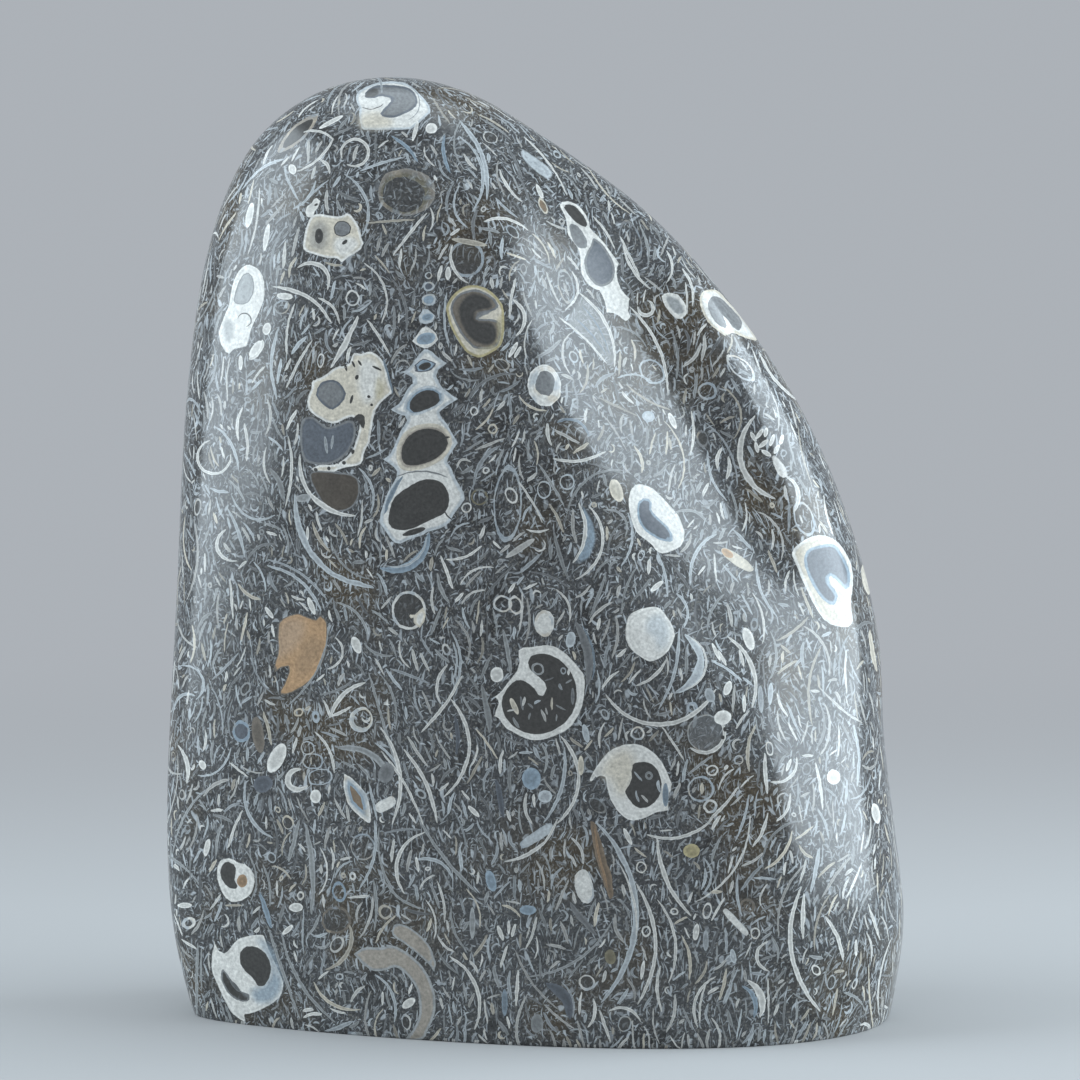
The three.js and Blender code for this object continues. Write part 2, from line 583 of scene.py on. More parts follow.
    def drop(self, cut: Cut, spot: Spot) -> bool:
        """Draws a cut shell flat on the surface at a spot, if the spot is clear.

        Args:
            cut: The cut shell.
            spot: Where it lies.

        Returns:
            True if the spot was clear and a layer had room for it.
        """
        points = self.points(cut, spot)
        cells = self.cells(points)
        if not cells.isdisjoint(self.crossing):
            return False
        to_eye = np.array(self.eye) / MM - spot.place
        seen = to_eye @ spot.out > self.RIM * np.linalg.norm(to_eye)
        if seen and not self.cells(self.line_up(points)).isdisjoint(self.planned):
            return False
        centre, along, over = self.axes(cut, spot)
        reach = max(cut.wide, cut.tall)
        if not cut.closed():
            reach = 2 * cut.wide * math.sin(cut.half_sweep() / 2)
        found = self.near.find_range(spot.place, reach + 2 * self.MARGIN)
        faces = np.array([index for _, index, _ in found], np.int64)
        faces = faces[self.slants[faces] @ spot.out > self.FACING]
        away = self.corners[faces] - centre
        if not self.lay(cut, faces, away @ along / cut.wide, away @ over / cut.tall, False):
            return False
        self.crossing |= cells
        return True

    def lay(
        self, cut: Cut, faces: np.ndarray, wide: np.ndarray, tall: np.ndarray, over: bool
    ) -> bool:
        """Draws a cut shell on the faces that it crosses.

        Args:
            cut: The cut shell.
            faces: The faces to look at.
            wide: Each corner's distance along the shell's width, in half-widths.
            tall: Each corner's distance along its height, in half-heights.
            over: True if it has to lie over what is drawn on these faces already.

        Returns:
            True if a layer had room for it.
        """
        keep = self.crosses(cut, wide, tall)
        faces, wide, tall = faces[keep], wide[keep], tall[keep]
        names = self.BROKEN if cut.broken else self.WHOLE
        layer = self.claim(names, faces, over)
        if layer is None:
            return False
        for name, value in zip(names, self.values(cut)):
            self.sheets[name][layer, faces] = value
        self.sheets[names[0]][layer, faces, :, 0] = wide
        self.sheets[names[0]][layer, faces, :, 1] = tall
        return True

    def claim(self, names: tuple[str, ...], faces: np.ndarray, over: bool) -> int | None:
        """Takes a layer for faces.

        Args:
            names: The kind of layer: WHOLE, PATCH or BROKEN.
            faces: The faces.
            over: True if it has to lie over what is drawn on these faces already.

        Returns:
            The layer, or None if there are no faces or no layer has room.
        """
        free = ~self.taken[names][:, faces].any(1)
        if len(faces) == 0 or not free.any():
            self.lost += 1
            return None
        layer = int(free.argmax())
        if over and not free.all():
            above = len(free) - int((~free)[::-1].argmax())
            layer = above if above < len(free) else layer
        self.taken[names][layer, faces] = True
        self.laid += 1
        return layer

    def values(self, cut: Cut) -> tuple[tuple, ...]:
        """Gives what the sheets of a cut shell hold.

        Args:
            cut: The shell.

        Returns:
            One row of four numbers for each sheet in WHOLE, or in BROKEN for a broken one.
        """
        size = cut.size()
        half = math.radians(cut.sweep) / 2
        edge = self.EDGE / size
        if cut.broken:
            pairs = zip(MUD, cut.shell.value)
            tone = [mud + (shell - mud) * cut.strength for mud, shell in pairs]
            return (0.0, 0.0, cut.wall / size, half), (*tone, edge)
        heavy = math.radians(cut.heavy_side - cut.turn)
        lean = (cut.heavy * math.cos(heavy), cut.heavy * math.sin(heavy))
        return (
            (0.0, 0.0, cut.corner, cut.ragged / size),
            (cut.wall / size, *lean, half),
            (*cut.shell.value, edge),
            (*cut.lining.value, cut.strength),
            (*cut.filling.value, cut.filled),
        )

    def crosses(self, cut: Cut, wide: np.ndarray, tall: np.ndarray) -> np.ndarray:
        """Finds the faces that a cut shell's wall or filling comes near.

        Args:
            cut: The cut shell.
            wide: Each corner's distance along the shell's width, in half-widths.
            tall: Each corner's distance along its height, in half-heights.

        Returns:
            True for each face that it comes near.
        """
        size = cut.size()
        across = np.column_stack((wide, wide.mean(1)))
        up = np.column_stack((tall, tall.mean(1)))
        reach = (np.abs(across) ** cut.corner + np.abs(up) ** cut.corner) ** (1 / cut.corner)
        thick = cut.wall / size * (1 + cut.heavy)
        off_wall = np.abs(reach - 1 + thick / 2) - thick / 2
        if cut.filled:
            off_wall = np.where(reach < 1, 0.0, off_wall)
        past_end = np.maximum(np.abs(np.arctan2(up, across)) - cut.half_sweep(), 0) * reach
        return np.maximum(off_wall, past_end).min(1) * size < self.MARGIN

    def store(self) -> None:
        """Writes the layers to the mesh, as one attribute for each sheet of each layer."""
        for name, sheet in self.sheets.items():
            for layer, values in enumerate(sheet):
                kept = self.mesh.attributes.new(f"{name}_{layer}", "FLOAT_COLOR", "CORNER")
                kept.data.foreach_set("color", values.ravel())


@dataclass(frozen=True)
class Rubble:
    """One kind of broken shell that fills the rock, with the ranges that its sizes fall in."""

    count: int
    length: Pair  # mm, along a curved piece or across a closed one
    wall: Pair  # mm
    sweep: Pair = (WHOLE_TURN, WHOLE_TURN)
    squash: Pair = (0.6, 1.0)  # a closed one's height, as a share of its width
    strength: Pair = (0.4, 1.0)
    filled: float = 0.0
    heavy: float = 0.0
    tries: int = 6
    stray: float = 0.25  # the share that lies any way round
    tints: tuple[Tint, ...] = (*(4 * (ASH, CHALK, PEARL)), MIST, CREAM, CREAM, CHALK)
    fillings: tuple[Tint, ...] = (SMOKE,)
    behind: bool = False  # only where the stone faces away from the front

    SHORT = 1.7  # a power; above 1 it makes the shorter lengths likelier
    SPREAD = 26.0  # degrees; how unlike its neighbours a piece leans
    RAGGED = (0.05, 0.1)

    def draw(self, rng: np.random.Generator, spot: Spot) -> Cut:
        """Draws one piece of this kind.

        Args:
            rng: The seeded source of chance.
            spot: Where it is to lie, because neighbours lie much the same way round.

        Returns:
            The piece. Its own place is left at nothing.
        """
        short, long = self.length
        length = short + (long - short) * rng.random() ** self.SHORT
        sweep = rng.uniform(*self.sweep)
        closed = sweep >= WHOLE_TURN
        wide = length / 2 if closed else length / math.radians(sweep)
        tall = wide * rng.uniform(*self.squash) if closed else wide
        lean = self.grain(spot.place) + rng.normal(0, self.SPREAD)
        if rng.random() < self.stray:
            lean = rng.uniform(0, 360)
        turn = lean + (90 if closed else 180 * rng.integers(2))
        tint = self.tints[rng.integers(len(self.tints))]
        filling = self.fillings[rng.integers(len(self.fillings))]
        return Cut(
            0.0, 0.0, wide, tall, turn=turn, wall=rng.uniform(*self.wall),
            heavy=self.heavy * rng.random(), heavy_side=rng.uniform(0, 360), sweep=sweep,
            ragged=rng.uniform(*self.RAGGED), shell=tint, lining=tint, filled=self.filled,
            filling=filling, strength=rng.uniform(*self.strength), broken=not self.filled,
        )

    @staticmethod
    def grain(place: np.ndarray) -> float:
        """Gives how far the pieces near a place lean from upright, in degrees."""
        across, deep, up = place
        slow = math.sin(across / 13.0 + up / 19.0 + 0.7) + math.sin(up / 10.0 - deep / 9.0)
        return -6.0 + 17.0 * slow + 12.0 * math.sin(across / 5.5 + up / 7.0 + deep / 6.0)


RUBBLE = (
    Rubble(
        70, (3.0, 9.0), (0.4, 1.1), filled=0.9, heavy=0.8, strength=(0.7, 1.0),
        fillings=(SMOKE, CREAM, SMOKE, MIST, PEARL, SLATE), behind=True,
    ),
    Rubble(150, (1.6, 3.0), (0.2, 0.36), filled=0.7, heavy=0.5, strength=(0.5, 0.95)),
    Rubble(320, (7.0, 16.0), (0.26, 0.5), (35, 110), tries=14, stray=0.15),
    Rubble(2000, (3.4, 7.0), (0.24, 0.52), (12, 85), tries=14, stray=0.15),
    Rubble(700, (1.6, 3.6), (0.2, 0.36), (110, 240)),
    Rubble(6500, (1.8, 4.0), (0.22, 0.52), (8, 62), tries=12),
    Rubble(500, (0.8, 2.2), (0.16, 0.28)),
    Rubble(3500, (1.0, 2.2), (0.2, 0.44), (8, 70), tries=8),
)


@dataclass
class ShellRubble:
    """The hash of broken shells between the whole ones, on every side of the stone."""

    kinds: tuple[Rubble, ...] = RUBBLE
    SMALL = 2.5  # mm; pieces shorter than this also lie in the open hollows

    def fill(self, bed: ShellBed) -> None:
        """Lays every kind in the order listed, and keeps the pieces off each other.

        Args:
            bed: The skin that they are laid in.
        """
        for kind in self.kinds:
            if kind.length[1] < self.SMALL:
                bed.planned -= bed.opened
            laid = sum(self.fit(bed, kind) for _ in range(kind.count))
            log.info("%d of %d pieces %s mm long", laid, kind.count, kind.length)

    def fit(self, bed: ShellBed, kind: Rubble) -> bool:
        """Looks for a clear place for one piece, and lays it there.

        Args:
            bed: The skin that it is laid in.
            kind: The piece's kind.

        Returns:
            True if it found one.
        """
        for _ in range(kind.tries):
            spot = bed.spot_anywhere()
            if kind.behind and spot.out[1] < 0:
                continue
            if bed.drop(kind.draw(bed.rng, spot), spot):
                return True
        return False


@dataclass(frozen=True)
class Wire:
    """One value inside a finish, which adds, scales and compares as a number does."""

    bench: "Bench"
    socket: NodeSocket

    def math(self, operation: str, *others: "Wire | float") -> "Wire":
        """Adds one Math node with this as its first input."""
        return self.bench.math(operation, self, *others)

    def __add__(self, other: "Wire | float") -> "Wire":
        """Adds."""
        return self.math("ADD", other)

    def __sub__(self, other: "Wire | float") -> "Wire":
        """Takes away."""
        return self.math("SUBTRACT", other)

    def __mul__(self, other: "Wire | float") -> "Wire":
        """Multiplies."""
        return self.math("MULTIPLY", other)

    def __truediv__(self, other: "Wire | float") -> "Wire":
        """Divides."""
        return self.math("DIVIDE", other)

    def __pow__(self, other: "Wire | float") -> "Wire":
        """Raises to a power."""
        return self.math("POWER", other)

    def __rsub__(self, other: float) -> "Wire":
        """Takes this from a number."""
        return self.bench.math("SUBTRACT", other, self)

    def __rtruediv__(self, other: float) -> "Wire":
        """Divides a number by this."""
        return self.bench.math("DIVIDE", other, self)

    def size(self) -> "Wire":
        """Drops the sign."""
        return self.math("ABSOLUTE")

    def root(self) -> "Wire":
        """Takes the square root."""
        return self.math("SQRT")

    def ramp(self, low: "Wire | float", high: "Wire | float") -> "Wire":
        """Rises smoothly from 0 at low to 1 at high; low may be the larger."""
        feeds = {"Value": self, "From Min": low, "From Max": high}
        return self.bench.add("ShaderNodeMapRange", feeds, interpolation_type="SMOOTHSTEP")


class Bench:
    """The nodes of one finish, with short ways to lay them out."""

    HALF = (0.5, 0.5, 0.5)

    def __init__(self, name: str) -> None:
        """Starts an empty finish.

        Args:
            name: Its name.
        """
        self.finish = bpy.data.materials.new(name)
        self.finish.use_nodes = True
        self.tree = self.finish.node_tree
        self.tree.nodes.clear()

    def node(self, kind: str, feeds: dict | None = None, **settings) -> bpy.types.Node:
        """Adds a node.

        Args:
            kind: Its type.
            feeds: What goes into its inputs, by their name or number: wires, numbers or tuples.
            **settings: Its own settings.

        Returns:
            The node.
        """
        node = self.tree.nodes.new(kind)
        for name, value in settings.items():
            setattr(node, name, value)
        for name, value in (feeds or {}).items():
            socket = node.inputs[name]
            if isinstance(value, Wire):
                self.tree.links.new(value.socket, socket)
            elif isinstance(value, tuple) and socket.type == "RGBA":
                socket.default_value = (*value[:3], 1.0)
            else:
                socket.default_value = value
        return node

    def add(self, kind: str, feeds: dict, output: int | str = 0, **settings) -> Wire:
        """Adds a node and gives one of its outputs.

        Args:
            kind: Its type.
            feeds: What goes into its inputs.
            output: The output's name or number.
            **settings: Its own settings.

        Returns:
            That output's value.
        """
        return Wire(self, self.node(kind, feeds, **settings).outputs[output])

    def math(self, operation: str, *values: "Wire | float") -> Wire:
        """Adds one Math node, and gives its result."""
        return self.add("ShaderNodeMath", dict(enumerate(values)), operation=operation)

    def vector(
        self, operation: str, *values: "Wire | tuple", scale: "Wire | float | None" = None
    ) -> Wire:
        """Adds one Vector Math node.

        Args:
            operation: Its operation.
            *values: Its vector inputs.
            scale: Its scale, where the operation has one.

        Returns:
            The result, a number for LENGTH and DISTANCE.
        """
        feeds = dict(enumerate(values))
        if scale is not None:
            feeds["Scale"] = scale
        output = "Value" if operation in ("LENGTH", "DISTANCE") else "Vector"
        return self.add("ShaderNodeVectorMath", feeds, output, operation=operation)

    def split(self, value: Wire) -> tuple[Wire, Wire, Wire]:
        """Takes a vector or a colour apart into its three numbers."""
        node = self.node("ShaderNodeSeparateXYZ", {0: value})
        return tuple(Wire(self, socket) for socket in node.outputs)

    def mix(self, share: "Wire | float", below: "Wire | tuple", above: "Wire | tuple") -> Wire:
        """Lays one colour over another, as far as its share says."""
        return self.add("ShaderNodeMix", {0: share, 6: below, 7: above}, 2, data_type="RGBA")

    def shade(self, colour: Wire, light: "Wire | float") -> Wire:
        """Makes a colour lighter or darker: it is multiplied by the light."""
        return self.vector("SCALE", colour, scale=light)

    def noise(
        self, output: str, place: Wire, grain: float, detail: float = 2.0, rough: float = 0.5
    ) -> Wire:
        """Adds a noise.

        Args:
            output: Fac for one number, about 0.5 on average, or Color for three.
            place: The place in mm.
            grain: The size of its lumps in mm.
            detail: How many finer layers it has.
            rough: How strong the finer layers are.

        Returns:
            The noise.
        """
        feeds = {"Vector": place, "Scale": 1 / grain, "Detail": detail, "Roughness": rough}
        return self.add("ShaderNodeTexNoise", feeds, output, noise_dimensions="3D")

    def bent(self, place: Wire, grain: float, reach: float) -> Wire:
        """Carries a place aside by a slow noise, so that what is drawn there swirls.

        Args:
            place: The place in mm.
            grain: The size of the noise's lumps in mm.
            reach: How far it carries them in mm.

        Returns:
            The new place.
        """
        aside = self.vector("SUBTRACT", self.noise("Color", place, grain, 1.0), self.HALF)
        return self.vector("ADD", place, self.vector("SCALE", aside, scale=2 * reach))

    def chance(self, place: Wire) -> tuple[Wire, Wire]:
        """Gives every place its own number and its own colour."""
        node = self.node("ShaderNodeTexWhiteNoise", {"Vector": place}, noise_dimensions="3D")
        return Wire(self, node.outputs["Value"]), Wire(self, node.outputs["Color"])

    def sheet(self, name: str, layer: int) -> tuple[Wire, Wire]:
        """Reads a layer of the shell bed: a sheet's first three numbers, and its fourth one."""
        node = self.node("ShaderNodeAttribute", attribute_name=f"{name}_{layer}")
        return Wire(self, node.outputs["Color"]), Wire(self, node.outputs["Alpha"])

    def dress(self, shader: bpy.types.Node) -> Material:
        """Puts a finished shader on the surface, and gives the whole finish."""
        self.node("ShaderNodeOutputMaterial", {"Surface": Wire(self, shader.outputs[0])})
        return self.finish


@dataclass(frozen=True)
class Crumbs:
    """One size of shell crumbs: curved plates, one to each cell of a grid inside the rock."""

    across: float  # mm; how wide and deep a cell is
    along: float  # mm; how tall it is
    turn: Triple
    bend: float = 0.55  # the plates' bending radius, as a share of the cell
    thick: float = 0.12
    reach: float = 0.5
    upright: float = 0.45  # how far the plates may lean, as a share of any way round
    light: Pair = (0.1, 0.8)
    edge: float = 0.06  # how softly they fade out, as a share of the cell


@dataclass
class Drawing:
    """The stone's colour as far as it is drawn, and the noises that all the drawn shells share."""

    bench: Bench
    place: Wire  # mm
    colour: Wire
    crumb: Triple = linear(190, 196, 200)
    blue_stain: Triple = linear(146, 158, 168)
    warm_stain: Triple = linear(186, 172, 150)
    blue: Pair = (0.5, 0.66)  # where the stain noise turns a shell blue, and where fully
    warm: Pair = (0.46, 0.32)  # the same for the warm stain
    blue_share: float = 0.6
    warm_share: float = 0.5
    sway: float = 0.1  # half-widths; how far the slow noise bends a whole shell
    tatter: float = 2.4  # how far the quick noise bends it, in its own raggedness
    swell: Pair = (0.8, 0.6)  # how a whole shell's wall swells with the stain noise
    lined: Pair = (0.15, 0.85)  # shares of a wall, from where to where it turns to its lining
    shell_light: Pair = (0.6, 0.62)  # how much the milky noise lights a shell, and what is added
    filling_light: Pair = (0.9, 0.5)
    outer_rim: Pair = (0.16, 0.0)  # the same shares, where its pale outer rim fades in
    outer_light: float = 0.14
    inner_rim: Pair = (0.86, 1.0)
    inner_light: float = 0.1
    growth_lines: float = 16.0  # along a whole shell's thickness, in radians
    growth_light: float = 0.07
    growth_wobble: float = 0.16
    bands: float = 11.0  # along a patch's depth, in radians to the mm
    band_light: float = 0.08
    band_reach: Pair = (2.4, 0.2)  # mm; how deep the bands fade out, and how deep they are full
    band_sway: float = 6.0  # radians
    patch_light: Triple = (0.9, 0.5, 0.31)  # by the milky noise, by the stain noise, and added
    patch_blue: Pair = (0.4, 0.72)  # how much of its blue places is darker, and how light that is
    fray: float = 0.09  # mm; how uneven a patch's edge is
    broken_fray: float = 2.8  # how uneven a broken shell's edges are, as a share of their softness
    blunt: float = 0.45  # a power; the smaller, the blunter its ends
    broken_swell: float = 0.5
    broken_light: Pair = (0.9, 0.62)
    core: Pair = (-0.05, -0.42)  # shares of its wall, from where to where its core begins
    core_light: Pair = (1.12, 0.34)  # how light its faces are, and how much darker its core is
    tiny = 1e-4  # keeps a wall with no thickness from dividing by nothing

    def mix_clouds(self) -> None:
        """Makes the shared noises: two from about -0.5 to 0.5, and two from 0.3 to 0.7."""
        noise = self.bench.noise
        self.slow = noise("Fac", self.place, 3.2, 1.0) * 2.0 - 1.0  # bends whole outlines
        self.wobble = noise("Fac", self.place, 0.9) * 2.0 - 1.0  # makes edges uneven
        self.milky = noise("Fac", self.place, 0.55, 2.0, 0.6)  # clouds the shell
        self.stain = noise("Fac", self.place, 2.3)  # blue in some places and warm in others
        self.cover = None  # how far shell covers the rock

    def milk(self, amount: float, least: float) -> Wire:
        """Gives a light that the milky noise clouds."""
        return self.milky * amount + least

    def lay(self, cover: Wire, skin: Wire) -> None:
        """Lays a layer of shells over the colour, where they cover the rock."""
        self.colour = self.bench.mix(cover, self.colour, skin)
        self.cover = self.cover.math("MAXIMUM", cover) if self.cover else cover

    def add_crumbs(self, place: Wire, crumbs: Crumbs) -> None:
        """Scatters one size of crumbs.

        Args:
            place: The place in mm, bent into swirls.
            crumbs: Their sizes.
        """
        bench = self.bench
        cell = (crumbs.across, crumbs.across, crumbs.along)
        feeds = {"Vector": place, "Rotation": crumbs.turn, "Scale": cell}
        spread = bench.add("ShaderNodeMapping", feeds, vector_type="TEXTURE")
        luck, aim = bench.chance(bench.vector("FLOOR", spread))
        inside = bench.vector("SUBTRACT", bench.vector("FRACTION", spread), bench.HALF)
        aim = bench.vector("SUBTRACT", aim, bench.HALF)
        aim = bench.vector("MULTIPLY", aim, (1.0, 1.0, crumbs.upright))
        aim = bench.vector("NORMALIZE", aim)
        hub = bench.vector("SCALE", aim, scale=crumbs.bend)
        away = bench.vector("DISTANCE", inside, hub) - crumbs.bend
        middle = bench.vector("LENGTH", inside)
        thick = (1.0 - (middle / crumbs.reach) ** 2.0).math("MAXIMUM", 0.0) * crumbs.thick
        cover = (thick - away.size()).ramp(0.0, crumbs.edge)
        low, high = crumbs.light
        light = luck * (high - low) + low
        self.colour = bench.mix(cover * light, self.colour, self.crumb)

    @staticmethod
    def ends(wide: Wire, tall: Wire, half: Wire) -> Wire:
        """Falls from 1 at the middle of a wall's sweep to 0 at its two ends."""
        round_share = tall.math("ARCTAN2", wide) / half
        return (1.0 - round_share * round_share).math("MAXIMUM", 0.0)

    @staticmethod
    def wall(rim: Wire, thick: Wire, edge: Wire) -> tuple[Wire, Wire]:
        """Draws the wall that lies just inside an outline.

        Args:
            rim: The place's distance from the middle, 1 on the outline.
            thick: The wall's thickness, as all of these in half-widths.
            edge: How soft its edges are.

        Returns:
            How far the place lies outside the wall, and how far the wall covers it.
        """
        off = (rim - 1.0 + thick * 0.5).size() - thick * 0.5
        cover = off.ramp(edge * 0.5, edge * -0.5) * (thick / edge).math("MINIMUM", 1.0)
        return off, cover

    def add_broken(self, layer: int) -> None:
        """Draws a layer of broken shells, each paler at its two faces than in its core.

        Args:
            layer: Which one.
        """
        bench = self.bench
        arc, half = bench.sheet("arc", layer)
        tone, edge = bench.sheet("tone", layer)
        wide, tall, wall = bench.split(arc)
        rim = (wide * wide + tall * tall).root() + self.wobble * edge * self.broken_fray
        taper = self.ends(wide, tall, half) ** self.blunt
        thick = taper * wall * (self.slow * self.broken_swell + 1.0)
        off, cover = self.wall(rim, thick, edge)
        core = (off / (thick + self.tiny)).ramp(*self.core)
        pale, darker = self.core_light
        light = self.milk(*self.broken_light) * (pale - core * darker)
        self.lay(cover, bench.shade(tone, light))

    def add_shells(self, layer: int) -> None:
        """Draws a layer of whole shells, with growth lines and stains in their walls.

        Args:
            layer: Which one.
        """
        bench = self.bench
        place, ragged = bench.sheet("place", layer)
        form, half = bench.sheet("form", layer)
        shell, edge = bench.sheet("shell", layer)
        lining, strength = bench.sheet("lining", layer)
        filling, filled = bench.sheet("filling", layer)
        wide, tall, corner = bench.split(place)
        wall, heavy_x, heavy_y = bench.split(form)
        rim = (wide.size() ** corner + tall.size() ** corner) ** (1.0 / corner)
        rim = rim + self.wobble * ragged * self.tatter + self.slow * self.sway
        straight = (wide * wide + tall * tall + self.tiny**1.5).root()
        heavy = (wide * heavy_x + tall * heavy_y) / straight
        taper = self.ends(wide, tall, half).root()
        swell, least = self.swell
        thick = wall * (heavy + 1.0) * taper * (self.stain * swell + least)
        off, cover = self.wall(rim, thick, edge)
        cover = cover * strength
        pool = (rim + thick).ramp(edge + 1.0, 1.0 - edge) * filled
        depth = (1.0 - rim) / (thick + self.tiny)
        wave = ((depth + self.wobble * self.growth_wobble) * self.growth_lines).math("SINE")
        lines = wave * self.growth_light
        skin = bench.mix(depth.ramp(*self.lined), shell, lining)
        skin = bench.mix(self.stain.ramp(*self.blue) * self.blue_share, skin, self.blue_stain)
        skin = bench.mix(self.stain.ramp(*self.warm) * self.warm_share, skin, self.warm_stain)
        outer = depth.ramp(*self.outer_rim) * self.outer_light
        rims = outer + depth.ramp(*self.inner_rim) * self.inner_light
        skin = bench.shade(skin, self.milk(*self.shell_light) + lines + rims)
        inner = bench.shade(filling, self.milk(*self.filling_light))
        self.colour = bench.mix(pool, self.colour, inner)
        self.lay(cover, skin)

    def add_patch(self, layer: int) -> None:
        """Draws a layer of patches, each with a rim and with bands along its edge.

        Args:
            layer: Which one.
        """
        bench = self.bench
        form, strength = bench.sheet("depth", layer)
        body, _ = bench.sheet("body", layer)
        rim, _ = bench.sheet("rim", layer)
        depth, rim_wide, soft = bench.split(form)
        depth = depth + self.wobble * self.fray
        cover = depth.ramp(soft * -1.0, soft) * strength
        skin = bench.mix(depth.ramp(rim_wide * 1.3 + 0.02, rim_wide * 0.7), body, rim)
        share, dark = self.patch_blue
        skin = bench.mix(self.stain.ramp(*self.blue) * share, skin, bench.shade(skin, dark))
        wave = (depth * self.bands + self.slow * self.band_sway).math("SINE")
        lines = wave * depth.ramp(*self.band_reach) * self.band_light
        milky, stained, least = self.patch_light
        light = self.milky * milky + self.stain * stained + least + lines
        self.lay(cover, bench.shade(skin, light))


@dataclass(frozen=True)
class AgateFinish:
    """The polished rock: dark mud stone full of shells, crumbs of shell and fine sand."""

    name: str = "turritella_agate"
    crumbs: tuple[Crumbs, ...] = (
        Crumbs(0.7, 0.9, (0.2, 1.1, 1.4), upright=1.0, light=(0.0, 0.5)),
        Crumbs(0.85, 2.0, (0.1, 1.2, 0.5), bend=1.1, light=(0.05, 0.6)),
        Crumbs(0.8, 2.3, (0.1, -0.5, 1.3), bend=1.6, light=(0.05, 0.65)),
        Crumbs(0.9, 2.6, (-0.1, 0.45, 0.8), bend=0.9),
        Crumbs(1.1, 3.2, (0.1, -0.1, 0.2), bend=1.6),
    )
    mud_brown: Triple = linear(68, 60, 48)
    brown_size: float = 17.0  # mm
    brown_from: Pair = (0.5, 0.66)  # where the noise turns the mud brown, and where fully
    mud_dark: Triple = linear(38, 37, 36)
    dark_size: float = 5.0  # mm
    dark_from: Pair = (0.5, 0.7)
    dark_share: float = 0.7
    sand: Triple = linear(120, 118, 112)
    sand_rate: float = 3.9  # grains to the mm
    sand_from: Pair = (0.78, 1.0)  # where a grain's number makes it pale, and where fully
    sand_share: float = 0.6
    grain_size: float = 0.34  # mm
    grain_light: Triple = (2.6, 0.3, 0.3)  # the mud's light: by the grain, less this, at least this
    grain: float = 0.75  # how strongly the fine grain shows through everything
    swirl_size: float = 9.0  # mm; how wide the swirls are that the crumbs follow
    swirl: float = 3.0  # mm; how far they carry the crumbs aside
    polish: float = 0.12  # how rough the smoothest places are
    smear_size: float = 9.0  # mm
    smear: float = 0.05  # how much rougher smeared places are, and grainy ones
    shell_rough: float = 0.02  # how much rougher the shells are
    ior: float = 1.54
    relief: float = 0.12
    relief_depth: float = 0.00003  # m

    def make(self) -> Material:
        """Builds the finish."""
        bench = Bench(self.name)
        place = bench.add("ShaderNodeTexCoord", {}, "Object")
        place = bench.vector("SCALE", place, scale=1 / MM)
        colour, rock = self.rock(bench, place)
        drawing = Drawing(bench, place, colour)
        bent = bench.bent(place, self.swirl_size, self.swirl)
        for crumbs in self.crumbs:
            drawing.add_crumbs(bent, crumbs)
        drawing.mix_clouds()
        for layer in range(WHOLE_LAYERS):
            drawing.add_shells(layer)
        for layer in range(PATCH_LAYERS):
            drawing.add_patch(layer)
        for layer in range(BROKEN_LAYERS):
            drawing.add_broken(layer)
        colour = bench.shade(drawing.colour, rock * self.grain + (1.0 - self.grain / 2))
        return self.finish(bench, place, colour, rock, drawing.cover)

    def rock(self, bench: Bench, place: Wire) -> tuple[Wire, Wire]:
        """Makes the mud stone between the shells.

        Args:
            bench: The finish's nodes.
            place: The place in mm.

        Returns:
            Its colour, and a fine noise that the gloss reuses.
        """
        brown = bench.noise("Fac", place, self.brown_size, 3.0).ramp(*self.brown_from)
        colour = bench.mix(brown, MUD, self.mud_brown)
        dark = bench.noise("Fac", place, self.dark_size, 3.0).ramp(*self.dark_from)
        colour = bench.mix(dark * self.dark_share, colour, self.mud_dark)
        fine = bench.noise("Fac", place, self.grain_size, 3.0, 0.7)
        strong, less, least = self.grain_light
        colour = bench.shade(colour, (fine * strong - less).math("MAXIMUM", least))
        cells = bench.vector("FLOOR", bench.vector("SCALE", place, scale=self.sand_rate))
        luck, _ = bench.chance(cells)
        return bench.mix(luck.ramp(*self.sand_from) * self.sand_share, colour, self.sand), fine

    def finish(
        self, bench: Bench, place: Wire, colour: Wire, fine: Wire, shells: Wire
    ) -> Material:
        """Adds the polish.

        Args:
            bench: The finish's nodes.
            place: The place in mm.
            colour: The stone's colour.
            fine: A fine noise.
            shells: How far shell covers the rock.

        Returns:
            The finished material.
        """
        smear = bench.noise("Fac", place, self.smear_size) * self.smear
        rough = smear + fine * self.smear + shells * self.shell_rough + self.polish
        feeds = {
            "Height": fine * 0.5 + shells * 0.5, "Strength": self.relief,
            "Distance": self.relief_depth,
        }
        bump = bench.add("ShaderNodeBump", feeds)
        feeds = {"IOR": self.ior, "Base Color": colour, "Roughness": rough, "Normal": bump}
        return bench.dress(bench.node("ShaderNodeBsdfPrincipled", feeds))


